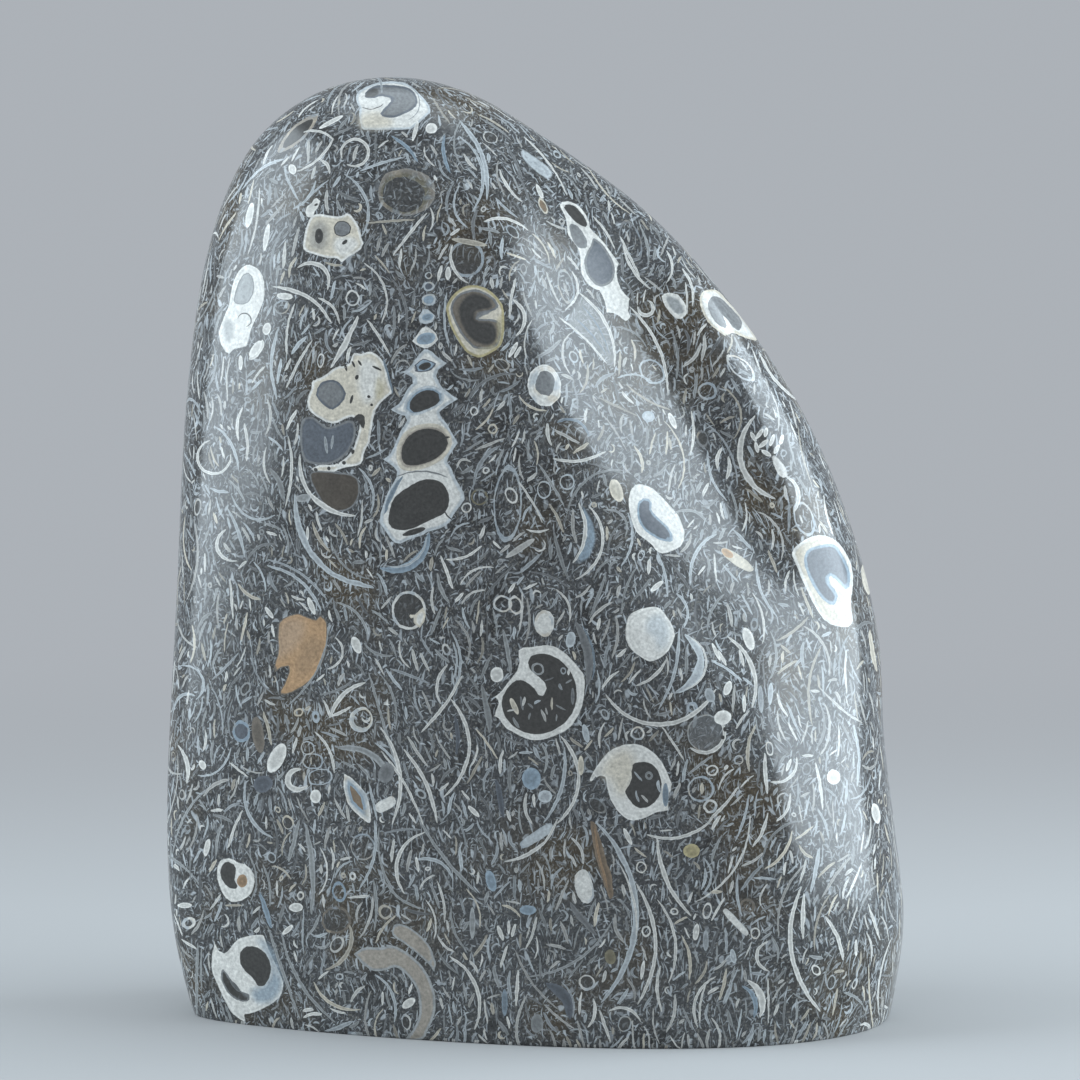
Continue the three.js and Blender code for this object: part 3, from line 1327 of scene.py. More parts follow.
class Studio:
    """A pale floor, soft lamps and the camera."""

    TARGET = Vector((0.00065, 0.0, 0.0692))
    AWAY = 0.85  # m
    RISE = math.radians(5)
    SENSOR = 36.0  # mm
    FRAME = 0.1564  # m; how much the frame takes in at the target
    FLOOR = 40.0  # m
    FLOOR_TINT = linear(174, 174, 174)
    FADE = (0.03, 0.5)  # m from the stone, from where to where the floor fades into the sky
    SKY_TINT = linear(201, 207, 214)
    SKY_LIGHT = 0.71
    LAMP_TINT = (0.80, 0.92, 1.0)
    LAMPS = (  # a name, its place and its target in m, its width and height in m, and its watts
        ("lamp_left", (-0.46, -0.06, 0.26), (0.0, 0.0, 0.08), (0.40, 0.60), 3.3),
        ("lamp_right", (0.46, -0.02, 0.20), (0.0, 0.0, 0.06), (0.50, 0.48), 4.4),
        ("lamp_top", (0.0, 0.05, 0.70), (0.0, 0.0, 0.08), (0.5, 0.3), 1.0),
    )

    def eye(self) -> Vector:
        """Gives the camera's place."""
        back = Vector((0.0, -math.cos(self.RISE), math.sin(self.RISE)))
        return self.TARGET + back * self.AWAY

    def build(self) -> None:
        """Sets up the camera, the lamps, the floor and the sky."""
        self.add_camera()
        for lamp in self.LAMPS:
            self.add_lamp(*lamp)
        self.add_floor()
        self.add_sky()
        bpy.context.scene.view_settings.view_transform = "Standard"

    @staticmethod
    def aim(data: bpy.types.ID, place: Vector, target: Vector) -> Object:
        """Puts a camera or a lamp in the scene and points it.

        Args:
            data: The camera or the lamp.
            place: Where it stands, in metres.
            target: What it points at.

        Returns:
            Its object.
        """
        item = bpy.data.objects.new(data.name, data)
        bpy.context.scene.collection.objects.link(item)
        item.location = place
        item.rotation_euler = (target - place).to_track_quat("-Z", "Y").to_euler()
        return item

    def add_camera(self) -> None:
        """Places the camera and makes it the scene's."""
        lens = bpy.data.cameras.new("camera")
        lens.sensor_width = self.SENSOR
        lens.lens = self.SENSOR * self.AWAY / self.FRAME
        bpy.context.scene.camera = self.aim(lens, self.eye(), self.TARGET)

    def add_lamp(self, name: str, place: Triple, target: Triple, size: Pair, power: float) -> None:
        """Adds a soft box that the camera doesn't see.

        Args:
            name: Its name.
            place: Its middle, in metres.
            target: Where it points.
            size: Its width and height in metres.
            power: Its power in watts.
        """
        light = bpy.data.lights.new(name, "AREA")
        light.shape = "RECTANGLE"
        light.size, light.size_y = size
        light.energy = power
        light.color = self.LAMP_TINT
        self.aim(light, Vector(place), Vector(target)).visible_camera = False

    def add_floor(self) -> None:
        """Lays the floor, which fades into the sky far away so that no horizon shows."""
        bpy.ops.object.select_all(action="DESELECT")
        bpy.ops.mesh.primitive_plane_add(size=self.FLOOR, location=(0.0, 0.0, 0.0))
        floor = bpy.context.object
        floor.name = "floor"
        bench = Bench("floor_paper")
        place = bench.add("ShaderNodeTexCoord", {}, "Object")
        matte = bench.add("ShaderNodeBsdfDiffuse", {"Color": self.FLOOR_TINT})
        feeds = {"Color": self.SKY_TINT, "Strength": self.SKY_LIGHT}
        glow = bench.add("ShaderNodeEmission", feeds)
        fade = bench.vector("LENGTH", place).ramp(*self.FADE)
        shader = bench.node("ShaderNodeMixShader", {0: fade, 1: matte, 2: glow})
        floor.data.materials.append(bench.dress(shader))

    def add_sky(self) -> None:
        """Surrounds the studio with an even pale light."""
        sky = bpy.data.worlds.new("sky")
        sky.use_nodes = True
        glow = sky.node_tree.nodes["Background"]
        glow.inputs["Color"].default_value = (*self.SKY_TINT, 1.0)
        glow.inputs["Strength"].default_value = self.SKY_LIGHT
        bpy.context.scene.world = sky


# The shells placed one by one, in three belts from the crown to the foot.
HIGH = (
    *rings(FAWN, (-34.2, 128, 4, 1.15, 44, 0.75), inside=SMOKE, corner=1.5),
    *rings(FAWN,
        (-18.6, 119.6, 4.1, 3.4, 0, 1.1), inside=SMOKE, lining=OLIVE, filled=0.5, strength=0.6, heavy=0.5,
        heavy_side=50,
    ),
    *rings(CREAM, (1.1, 117.5, 0.55, 1.25, 25, 0.22), inside=RUST),
    *rings(MIST, (13.7, 112.6, 1.5, 3, 16, 0.3)),
    *rings(ASH, (-10, 109.9, 2.5, 2.6, 0, 0.38), inside=SMOKE, filled=0.6),
    *rings(PEARL,
        (-15.4, 107.5, 0.5, 0.5, 0, 0.2), (16.9, 93.6, 2.1, 1.6, -45, 0.28),
        (24.9, 90.8, 1.4, 1.3, 0, 0.32),
    ),
    *rings(ASH, (4.4, 106, 1.1, 2.6, 12, 0.28), (-36.6, 103, 1.2, 1, 20, 0.25)),
    *rings(PEARL, (-15.4, 105.9, 0.8, 0.65, 0, 0.28), inside=SLATE),
    *rings(CHALK, (-26.4, 104.2, 1, 1.15, 0, 0.22), (-31, 95.2, 0.5, 1.05, -10, 0.22)),
    *rings(PEARL, (-15.4, 104, 1.05, 0.85, 10, 0.3), inside=SKY),
    *rings(CHALK, (29.6, 94.2, 2.7, 1.2, -42, 0.32), corner=1.8),
    *rings(CHALK, (1.3, 91.5, 2.4, 3, 5, 1.25), inside=MIST, heavy=0.35, heavy_side=240),
    *curves(MIST,
        (-4.4, 126.6, -2.8, 124.2, -1.8, 121.5, 0.35), (-2.6, 122.4, -1.4, 119.2, 0.6, 114.6, 0.3),
    ),
    *curves(ASH,
        (-17.6, 134.4, -16.6, 132, -18.2, 129.9, 0.16), (-10.8, 129.8, -11.8, 127.3, -10.4, 122.9, 0.28),
        (15.2, 114.5, 16.3, 112, 16.2, 108.6, 0.35),
    ),
    *curves(SKY,
        (-20.6, 127.6, -18.8, 126.6, -17, 124, 0.5), (-13.2, 127.6, -13.4, 124.6, -12.4, 122.4, 0.55),
    ),
    *curves(PEARL,
        (-10.6, 129.6, -7.3, 124.6, -6.9, 118.7, 0.6), (-10.7, 127.4, -7.5, 122.9, -8.9, 116.9, 0.4),
        (-27.3, 122, -24.7, 119.6, -24.9, 113.3, 0.4), (-29.9, 121.2, -31.6, 120, -33.5, 117.9, 0.3),
        (-31.6, 121, -32.4, 118.9, -34.8, 117.1, 0.35), (-11, 120.4, -11.9, 117.6, -9.9, 114.4, 0.35),
        (-12.9, 104.9, -13.3, 100.8, -12.6, 97.3, 0.35), (-37.2, 99.9, -38.4, 94.6, -37.5, 89.8, 0.5),
        (11.9, 92.8, 14.4, 93.3, 17, 92, 0.3),
    ),
    *curves(CHALK,
        (-1.4, 127.3, 1.6, 124.3, 4.5, 119.3, 0.28), (-34.2, 122.5, -31.2, 124.1, -29.1, 127.1, 0.36),
        (-33.3, 128.2, -31, 128.4, -29.1, 127.1, 0.36), (-31, 124.2, -29.9, 123.7, -29.6, 122.2, 0.5),
        (-28, 124.6, -24.7, 126.9, -26.9, 123.3, 0.42), (-15.7, 116.3, -18, 113.4, -20.4, 110.5, 0.4),
        (8.4, 116, 10.2, 114, 11.4, 111.5, 0.32), (12.2, 113, 13.4, 110.2, 14.9, 107.4, 0.38),
        (12.6, 112, 14.2, 107.7, 16.4, 105.6, 0.38), (-12.1, 111.8, -12, 108.4, -9.8, 106.4, 0.45),
        (19, 111, 19.9, 108.9, 18.9, 106.4, 0.32), (-24.5, 109.2, -21.7, 106, -22.1, 100.8, 0.32),
        (-34.2, 108.8, -30.9, 109.2, -29.9, 105.6, 0.55), (21.3, 108.4, 22.7, 106, 22.7, 103.2, 0.34),
        (5.4, 108, 6.2, 104.9, 4.4, 102.6, 0.35), (-3, 107, -3.7, 104.4, -3.8, 101.4, 0.38),
        (21.7, 106.4, 22, 104.2, 21.9, 102, 0.28), (-37.6, 105.9, -33.2, 104.9, -29.5, 100.9, 0.58),
        (27, 105, 29.4, 101.8, 31.2, 99.5, 0.3), (-3.1, 104, -1.5, 102.4, -2.7, 98.8, 0.5),
        (-34.9, 103.3, -36, 99.8, -36, 96.2, 0.38), (14.7, 102.9, 16.8, 101.8, 16.4, 103.9, 0.55),
        (13.9, 102.8, 17.3, 98.6, 19.2, 90.6, 0.42), (-25.8, 101.5, -28, 97.6, -29.6, 94.4, 0.75),
        (3.6, 101.4, 7, 98.7, 10.2, 95, 0.3), (6.6, 104.8, 10.2, 101, 11.5, 94.6, 0.42),
        (-24.3, 101, -22.6, 98.3, -21.3, 96.3, 0.4), (-39.5, 98.2, -40.5, 97, -41.4, 95.5, 0.95),
        (-32.4, 98.1, -34.3, 95.2, -36, 91.5, 0.42), (32.3, 96.3, 34, 92.9, 37.8, 89.4, 0.42),
    ),
    *curves(CREAM,
        (-24.2, 115.1, -21, 115.5, -17.6, 115.6, 0.32), (13.2, 91.6, 15.5, 89.7, 19.3, 88.1, 0.3),
        strength=0.6,
    ),
    *curves(SKY,
        (-21.9, 95.4, -21, 92.6, -20.6, 90.6, 0.3), (6.9, 103, 9, 100.4, 10.6, 96.4, 0.18),
        (6, 101.2, 8.2, 99, 10.2, 96.2, 0.18), strength=0.6,
    ),
    *chips(SMOKE,
        (-31.6, 117.7, 0.26, 0.16, 30), (-31.2, 113.2, 0.6, 1.1, 0), (-27.5, 112.3, 0.45, 0.25, 35),
        (-25.4, 94.9, 0.16, 0.45, 35), (-26.3, 94.7, 0.17, 0.5, 25), (-16, 94.4, 0.9, 0.5, 15),
        (-27.4, 94.2, 0.17, 0.55, 15), (-22.9, 94.1, 0.75, 0.16, -25), (-25.8, 92.8, 0.25, 0.4, -20),
        (-24.1, 90, 0.25, 0.2, 0), (-26.6, 89.6, 0.2, 0.6, -15), (-23.7, 88.8, 0.22, 0.2, 0),
    ),
    *chips(SKY, (-15.6, 101.5, 0.85, 0.5, 12), (-15.8, 98.4, 1.4, 0.85, 12)),
    *chips(CHALK,
        (-29.4, 129.6, 2, 0.32, 28), (-15, 128.7, 0.85, 0.75, 0), (-17.3, 128.3, 0.28, 1.5, -15),
        (0.6, 119.6, 0.32, 1.15, 25), (-41.2, 116.2, 0.5, 1.9, -12), (-38.8, 113, 0.38, 2, -10),
        (-12.6, 107.8, 0.4, 1, 0), (-36.2, 104.5, 1.15, 0.5, -5), (-38.8, 99.8, 0.6, 0.9, -15),
        (-40.4, 96.9, 0.6, 1.4, -35), (-3.2, 96.8, 0.32, 1.3, -30), (-2.6, 96.4, 0.25, 1, -30),
        (-42.6, 94.9, 0.3, 1.1, 0),
    ),
    *chips(CREAM, (-9.5, 112.3, 2.6, 0.4, -10), strength=0.6),
)
MIDDLE = (
    *rings(CHALK,
        (-8.9, 87.9, 0.6, 0.65, 0, 0.22), (-7.2, 79.3, 0.5, 0.5, 0, 0.25),
        (-3.5, 75.7, 0.85, 1.25, 25, 0.26),
    ),
    *rings(PEARL, (16.3, 87.1, 0.95, 0.8, -20, 0.3), inside=PEARL),
    *rings(CREAM, (-6.2, 85.3, 0.7, 0.7, 0, 0.25), (-34.4, 44.1, 0.7, 0.6, 20, 0.3)),
    *rings(PEARL,
        (4.6, 77.6, 1.1, 1.2, 0, 0.2), (1.2, 76.5, 1, 1.3, 0, 0.2), (38.9, 72.3, 1.4, 2.7, 20, 0.35),
        (22.8, 44.8, 0.75, 0.85, 0, 0.26),
    ),
    *rings(OLIVE, (-8.1, 75.4, 1.2, 1.2, 0, 0.25)),
    *rings(PEARL, (-4, 74.5, 2.05, 5.5, -3, 0.42), strength=0.85),
    *rings(CHALK,
        (-10, 73.9, 0.75, 0.7, 0, 0.22), (15.3, 66.9, 0.45, 0.85, -20, 0.18),
        (-4.8, 59.9, 1.35, 1.25, 0, 0.3), (-2.9, 59.7, 0.95, 1.4, 15, 0.3),
    ),
    *rings(CREAM, (29.1, 66.4, 2.8, 0.75, -35, 0.2), inside=CREAM, corner=2.4),
    *rings(CHALK, (-18.4, 59, 2.5, 2.75, 0, 0.38), inside=SMOKE, filled=0.75),
    *rings(CHALK, (1.3, 57.1, 1.4, 1.95, 0, 0.5), inside=CHALK),
    *curves(SMOKE,
        (-43, 101.3, -41.5, 102, -41.7, 100.1, 0.2), (-25, 131.7, -23.5, 131.4, -21.9, 132.1, 0.14),
        (-13.7, 83.7, -12.9, 83.9, -12.4, 84.1, 0.35), (-13.2, 73.3, -12.8, 72.6, -12.1, 72.1, 0.22),
    ),
    *curves(MIST, (-0.7, 64.6, 2.6, 63.9, 4.8, 62.4, 0.35), (6.1, 57.2, 8.2, 52.8, 7.8, 48.3, 1.2)),
    *curves(ASH,
        (0.5, 80, 2.3, 77, 4, 74.2, 0.4), (27.7, 77.2, 29, 74.8, 29.2, 71.8, 0.35),
        (10, 73.6, 12.9, 72.6, 13.1, 69.8, 0.3), (20.2, 73.2, 22.4, 73.7, 24.8, 71.9, 0.45),
        (-29.9, 56.6, -31.4, 50.6, -36, 45, 0.28), (-4.8, 56, -4.3, 52.6, -3.7, 49.8, 0.62),
        (-24.2, 49.5, -22.5, 43.2, -20.3, 36, 0.42),
    ),
    *curves(CREAM, (48.6, 56, 49.2, 53, 49.6, 50.2, 0.6)),
    *curves(SKY, (-22.3, 64.9, -16.9, 65.6, -15.3, 69.9, 1.15)),
    *curves(PEARL,
        (24.8, 82, 25, 79.2, 27.5, 75, 0.38), (-25.4, 79.6, -23.4, 76.5, -23.8, 73.2, 0.35),
        (-34.9, 75.4, -33.3, 67.8, -27.8, 63.1, 0.85), (31.9, 66, 32.4, 62, 34.9, 58.1, 0.42),
        (13.5, 73, 14.2, 69.6, 12.6, 65.5, 0.35), (17.7, 67.4, 18.8, 64.8, 19.2, 61.1, 0.38),
        (-38.6, 65.5, -34.6, 63.9, -31.1, 59.2, 0.5), (-21.6, 65.4, -17.2, 66.3, -15.7, 69.4, 0.3),
        (-30.2, 64.4, -27.2, 62.9, -23.6, 62.2, 0.75), (20.6, 61.4, 21.9, 60, 21.6, 56.5, 0.38),
        (20.9, 56, 20.5, 50.4, 18.1, 44.8, 0.5), (-12.1, 55.8, -10.7, 51.6, -12.1, 47, 0.38),
        (22, 55.4, 24.5, 51.4, 20.6, 46.9, 1.1), (-11.9, 54.2, -11.3, 51, -12.2, 48.2, 0.32),
        (-51.5, 50.9, -49.4, 50.6, -49.1, 46, 0.32),
    ),
    *curves(CHALK,
        (-35.6, 84, -35.1, 79, -36.1, 74.3, 0.38), (31.4, 87, 29.2, 81.2, 34.3, 75.2, 0.85),
        (6.4, 74.4, 7.5, 70.3, 5.6, 66, 0.5), (-47.4, 83.6, -45.7, 78.8, -44, 81.4, 0.4),
        (-34.2, 81.3, -31.4, 74.2, -26.4, 72.6, 0.65), (2.7, 80.9, 6.4, 80.5, 10, 81.9, 0.45),
        (36.2, 78.6, 38.2, 76.6, 37.6, 73.4, 0.6), (-2.3, 77.6, -0.4, 74.9, 1, 71.9, 0.28),
        (8, 74, 9.9, 70.3, 6.1, 63.5, 0.42), (-45, 70.7, -45.6, 66.7, -43.4, 66.1, 0.42),
        (-44.2, 63.5, -43.9, 61, -43.8, 57.8, 0.35), (3.1, 62, 4.9, 60, 5, 57.4, 0.38),
        (-1.9, 61.5, -1.8, 58.8, -2.3, 56, 0.32), (28.1, 55.1, 31.4, 51.6, 31.6, 45, 0.6),
        (-28.9, 55, -28.7, 51, -30, 50.4, 0.36), (22.6, 55, 24.9, 51.6, 21.8, 47.4, 0.28),
        (45, 53, 44.8, 50.2, 45.1, 47, 0.28), (-12.9, 51, -14.5, 48.3, -13.9, 45.5, 0.5),
        (-10.7, 49.2, -12.6, 45.6, -16.4, 41.3, 0.5), (-24.9, 48.5, -28.3, 46.7, -29.9, 43.5, 0.6),
        (10.4, 46.2, 18.2, 42, 26, 47, 0.62), (-12, 45.8, -9.4, 39, -13, 31.9, 0.55),
    ),
    *curves(ASH,
        (-38.3, 79.6, -36.7, 77.7, -36.4, 75, 0.7), (-19.9, 78.5, -16.4, 79.3, -12.9, 78.4, 0.25),
        (2.6, 70.3, 3.2, 67, 4.7, 63.4, 0.6), (-7.9, 47.9, -7.5, 44.4, -6.8, 41.2, 0.8),
        (-31.2, 46.6, -28, 47.5, -25.6, 49.6, 0.35), strength=0.6,
    ),
    *curves(SKY,
        (3.2, 86.4, 5.2, 86.9, 7.8, 84.4, 0.4), (-21.9, 73.2, -21, 76.2, -19.4, 78.4, 0.6),
        (6.9, 56.6, 8.5, 53, 8.3, 49, 0.3), strength=0.6,
    ),
    *chips(SMOKE,
        (-26.4, 82, 0.24, 0.36, -20), (-27.7, 80.4, 0.26, 0.26, 0), (-29.9, 79.6, 0.24, 0.3, 0),
        (-31.8, 79.4, 0.3, 0.24, -30), (-17.6, 70.4, 1.7, 0.42, 17),
    ),
    *chips(MIST, (5.4, 46.4, 0.25, 1.2, 0), (-2, 45.4, 0.2, 1, 10)),
    *chips(ASH, (-33.6, 75.3, 1.1, 0.55, 10)),
    *chips(TAN, (27.8, 67.3, 1, 0.5, -35)),
    *chips(CREAM, (11.7, 76.4, 0.9, 1.7, 20), (-3.1, 45, 0.4, 1.3, 25)),
    *chips(PEARL, (5.1, 54.7, 0.7, 1.2, -10), (34.1, 46.8, 0.38, 1.6, -3), (-18.8, 44, 0.2, 1, 5)),
    *chips(CHALK,
        (19.8, 86.5, 0.42, 1.25, 25), (-33, 70.2, 0.2, 1, 0), (-47.9, 65.9, 0.14, 1.4, 0),
        (17.6, 62.5, 1.15, 0.38, 40), (-32.5, 59.6, 0.4, 1.3, 22), (-38.6, 58.6, 0.32, 1, 35),
        (31.5, 84.2, 0.3, 0.8, 30), (32.4, 84.6, 0.3, 0.9, -35), (33.3, 84.8, 0.3, 0.7, -10),
        (33, 83.2, 0.32, 0.9, -50), (32, 82.6, 0.3, 0.8, 15), (34.2, 83.7, 0.3, 0.9, -20),
        (34.9, 82.4, 0.3, 0.8, -30), (33.4, 81.8, 0.3, 0.8, 60), (35.6, 83.8, 0.3, 0.8, -15),
        (-35, 122.8, 0.55, 0.75, 20), (-48.4, 36.4, 0.5, 0.75, 25), (30.9, 54.8, 0.75, 1.7, 18),
        (-26, 53.9, 0.65, 1.3, 20), (26.2, 52.9, 0.26, 1.4, 25), (29.9, 52, 0.24, 1.3, 15),
        (27.1, 52, 0.24, 1.3, 28), (-5.6, 49.6, 0.95, 1.1, 0), (27.9, 47.6, 0.55, 1.1, -20),
        (30.3, 45.3, 0.25, 1.3, 0),
    ),
    *chips(PEARL,
        (-29.4, 83.4, 0.18, 1, -8), (-30.3, 83, 0.22, 1.3, 8), (25.3, 46.6, 0.7, 1.1, 20),
        (32.7, 46, 0.4, 2, 3), strength=0.6,
    ),
    *chips(CHALK, (-2.2, 68, 2.5, 0.45, 33), strength=0.6),
)
LOW = (
    *rings(PEARL,
        (-31.9, 43.4, 0.55, 0.9, 10, 0.4), (-33.1, 38.9, 1, 0.95, 0, 0.18), (29.5, 37.1, 0.7, 0.7, 0, 0.22),
    ),
    *rings(CHALK, (-25.3, 43, 1.7, 1.85, 0, 0.5), lining=CREAM, heavy=0.5, heavy_side=210),
    *rings(SKY, (-42.7, 41.3, 1.25, 1.6, 10, 0.4), inside=SLATE),
    *rings(CHALK,
        (14.8, 41, 1, 1, 0, 0.28), (34, 38.8, 0.55, 1.15, 10, 0.22), (25.7, 35.6, 0.85, 0.85, 0, 0.26),
    ),
    *rings(ASH, (24.8, 41, 2.9, 2.8, 0, 0.2), inside=MIST, filled=0.5),
    *rings(PEARL, (-32.4, 36.9, 1.5, 1.1, 0, 0.18), (-31.3, 34.6, 1.75, 1.15, 5, 0.18), corner=2.6),
    *rings(PEARL, (24, 32.9, 1.95, 1.9, 0, 0.28)),
    *rings(CHALK, (-25.9, 31.4, 4.1, 1.5, -63, 1.7), inside=RUST, lining=SKY, corner=1.3),
    *rings(CHALK, (-21.8, 30.6, 1.6, 0.8, 28, 0.2), inside=CHALK, corner=3.5),
    *rings(CHALK,
        (25.4, 30.3, 1, 1, 0, 0.34), (15.4, 21.4, 0.75, 0.85, 0, 0.24), (-26.6, 20.1, 0.5, 0.65, 0, 0.3),
        (-34.2, 17.2, 0.5, 0.65, 0, 0.25), (25, 15, 0.65, 1.2, -12, 0.25), (20.2, 14.9, 0.6, 0.5, 0, 0.25),
        (-50.5, 13.2, 1.05, 0.85, 20, 0.42), (16.1, 12, 0.65, 0.85, 0, 0.28),
    ),
    *rings(PEARL, (0.2, 26, 2.8, 0.7, 34, 0.15), inside=PEARL, corner=3.5),
    *rings(ASH, (-25.1, 24.4, 1.75, 2, 0, 0.22)),
    *rings(CHALK, (7.1, 18.6, 1.3, 2.4, 12, 0.3), inside=CHALK, corner=2.6),
    *rings(SKY, (-28.6, 17.8, 1, 1.5, 10, 0.35)),
    *rings(STONE, (30.8, 15.7, 1.1, 1.1, 0, 0.34), (30.8, 15.6, 0.45, 0.4, 0, 0.2)),
    *rings(STONE, (-29, 13.6, 2.15, 2, 0, 0.34), inside=SMOKE, filled=0.5),
    *rings(CHALK, (29.2, 13.3, 2.6, 0.5, -47, 0.15), inside=CHALK, corner=3),
    *rings(CHALK,
        (32, 11.7, 0.7, 0.8, 0, 0.26), (40.9, 6.3, 0.6, 0.9, 35, 0.24), (-28.6, 5.3, 0.6, 0.5, 0, 0.22),
    ),
    *curves(SLATE,
        (-11.6, 43.5, -11, 41, -11.4, 38, 0.55), (-5.6, 34.2, -4.8, 32, -4.6, 28.8, 0.8),
        (1.7, 4.4, 4.6, 3.2, 5.2, -0.8, 1.5),
    ),
    *curves(MIST, (5.2, 16.2, 7.3, 13.8, 8.9, 11.6, 0.8)),
    *curves(ASH,
        (-28.6, 39.1, -24, 38.5, -20.9, 34.8, 0.9), (-17, 28.4, -14, 23.3, -8.8, 17.8, 0.5),
        (-34.3, 28.2, -34.7, 25.6, -35.8, 22.3, 0.65), (-22.8, 27, -22.5, 21.4, -20, 16.8, 0.34),
        (-33.1, 27, -32.2, 22.6, -32.5, 14.8, 0.8), (-42.3, 24, -40.6, 20.5, -41.4, 16.5, 0.24),
        (-39.6, 21.8, -38.6, 19, -38.6, 15.8, 0.4), (-23.5, 19.5, -23, 16.4, -23.4, 12.2, 0.38),
        (-22, 19.2, -20, 16.8, -16.4, 15.2, 0.34), (-39, 12.4, -37.6, 7.6, -34.6, -0.6, 0.4),
        (-37, 11.4, -35.6, 6.4, -29.6, -1.2, 0.45), (-49.3, 10, -49.6, 5, -49.5, -0.8, 0.4),
        (-48.7, 9.5, -48.9, 6, -48.7, 3.5, 0.28),
    ),
    *curves(RUST, (8, 27.8, 8.9, 22.4, 10.7, 17, 1.5)),
    *curves(CREAM, (21.4, 11.3, 22.6, 8.6, 22.5, 5, 0.4), (-32.3, 4.3, -30.4, 1.5, -25.7, 0.4, 0.48)),
    *curves(SKY, (-40, 17.6, -39, 15.4, -38.4, 12.6, 0.7), (30.3, 4, 32.3, 2, 32, -0.6, 0.7)),
    *curves(PEARL,
        (46.3, 42, 47.1, 38.6, 46.8, 33.4, 0.42), (-23.2, 39.6, -21.2, 38.1, -19.6, 35.6, 0.35),
        (4.3, 38.7, 4.4, 34.6, 1.4, 28.1, 0.5), (-24.1, 33.6, -23.4, 31, -23, 28.4, 0.35),
        (-23.3, 28, -23.2, 23.4, -25.5, 18.3, 0.42), (9.4, 27.6, 15, 12.8, 10.2, 2, 0.85),
        (41.4, 24.1, 41.1, 21, 40.2, 17.8, 0.6), (24.7, 22.7, 25.7, 20.3, 24.4, 17.4, 0.34),
        (-17.2, 22.6, -14.4, 22.6, -12, 19.8, 0.48), (29.3, 20.1, 29.2, 17, 29.9, 14.3, 0.4),
        (-23.2, 5.6, -21.1, 3.6, -20.5, -1.2, 0.45),
    ),
    *curves(CHALK,
        (26.9, 43, 27.6, 40.4, 22.6, 38.7, 0.5), (18.4, 41.8, 20, 39.3, 21.4, 37.2, 0.34),
        (-22.2, 41.6, -19.4, 34.6, -20.7, 28, 0.5), (-31.9, 41.2, -30, 39, -29.2, 35.4, 0.4),
        (4, 40.4, 6, 37.3, 3.5, 28, 0.55), (-51.8, 39.2, -50.7, 37.7, -50.6, 33.8, 0.5),
        (-30.8, 45.8, -30.4, 44.6, -29.9, 43.3, 0.35), (-29.9, 43.4, -28.1, 43.9, -26.8, 44.8, 0.4),
        (-24, 43.4, -24.5, 42.6, -25.2, 43.3, 0.3), (-18.9, 38.5, -15.9, 34.3, -14.3, 28.2, 0.55),
        (-22.2, 38.2, -19.4, 34.6, -16.4, 27.9, 0.34), (33.2, 38, 33.1, 35.4, 33.6, 32.3, 0.5),
        (38, 37.4, 37.4, 34.7, 34.3, 33.8, 0.42), (40.8, 36.6, 41.5, 34, 41.8, 30, 0.4),
        (-34.2, 35.9, -36.4, 34.6, -33.2, 33.2, 0.85), (29.4, 33, 28, 30.8, 25.3, 28.2, 0.48),
        (3.2, 28.2, 0.8, 24.3, -4.2, 22.2, 0.5), (-16.4, 26.5, -20.2, 23, -19.3, 17.7, 0.48),
        (16.4, 26, 20.6, 25.5, 25.6, 28.2, 0.5), (17.6, 25.4, 18.6, 19.8, 22.4, 14.4, 0.6),
        (12.4, 21.6, 14.3, 17.2, 14.8, 11.6, 0.3), (15, 18.6, 17.7, 11.2, 15.2, 1.6, 0.55),
        (38.4, 18.1, 36.9, 9.4, 41.1, 0.5, 0.7), (39, 17.4, 38.6, 13.8, 38.9, 11, 0.6),
        (18, 16.4, 20.5, 11, 19.6, 4.7, 0.4), (48.4, 15.9, 49.1, 13.4, 50.1, 10.8, 0.36),
        (42.4, 14.1, 44.1, 11.5, 44.9, 7.9, 0.55), (33.7, 10.5, 32, 8.4, 33.9, 6.1, 0.5),
        (-12.2, 8.2, -8.8, 4.8, -8.7, -2.2, 0.5), (18.1, 6.8, 17.5, 3.9, 18.3, 0.3, 0.42),
        (26.1, 5.3, 23.8, 3.4, 23.5, -2, 0.42), (33.9, 5, 34.1, 2, 34, -1.4, 0.28),
        (31.1, 4.8, 33.5, 2.2, 32.9, -0.6, 1), (24.8, 4.2, 24, 2, 23.9, -1.4, 0.3),
        (10.8, 0.4, 13, 0.9, 15.3, -1.2, 0.42),
    ),
    *curves(TAN, (8.6, 27, 9.2, 22.6, 10.4, 18.6, 0.35), strength=0.6),
    *curves(CREAM, (-26.9, 12.7, -26.9, 9.2, -30.4, 6.3, 0.6), strength=0.6),
    *curves(PEARL, (3.9, 4.5, 5.5, 2.2, 5.5, -0.6, 0.34), strength=0.6),
    *chips(SMOKE, (27.5, 41.6, 0.26, 0.32, 0), (27.2, 40.4, 0.26, 0.3, 0)),
    *chips(STONE, (-40.3, 40.8, 0.85, 2.7, 8)),
    *chips(SLATE, (-39.6, 33.6, 1.4, 1.2, 20)),
    *chips(MIST, (-21.7, 35.2, 1.1, 1.5, -20)),
    *chips(ASH, (-9.2, 13.2, 0.42, 2.3, 0)),
    *chips(OLIVE, (10.9, 8.2, 0.8, 1.1, 10)),
    *chips(HONEY, (22.7, 23.8, 1.2, 1, 0)),
    *chips(CREAM, (6.6, 36.3, 0.42, 1.45, 0)),
    *chips(SKY, (-0.6, 34.4, 1.35, 1.6, 0), (-6.5, 19.4, 0.7, 1.6, 15), (-1.1, 15.1, 1.2, 0.7, 0)),
    *chips(PEARL,
        (7.3, 41, 0.48, 1.35, 12), (-1.4, 38.2, 1, 0.18, 2), (1.4, 31.8, 1, 0.9, 0),
        (28.8, 8.3, 0.42, 1.1, 12),
    ),
    *chips(CHALK,
        (27.2, 43.3, 1.25, 1.05, 10), (-37.6, 37.4, 2.3, 1.1, 63), (36.8, 36.4, 0.25, 1, -20),
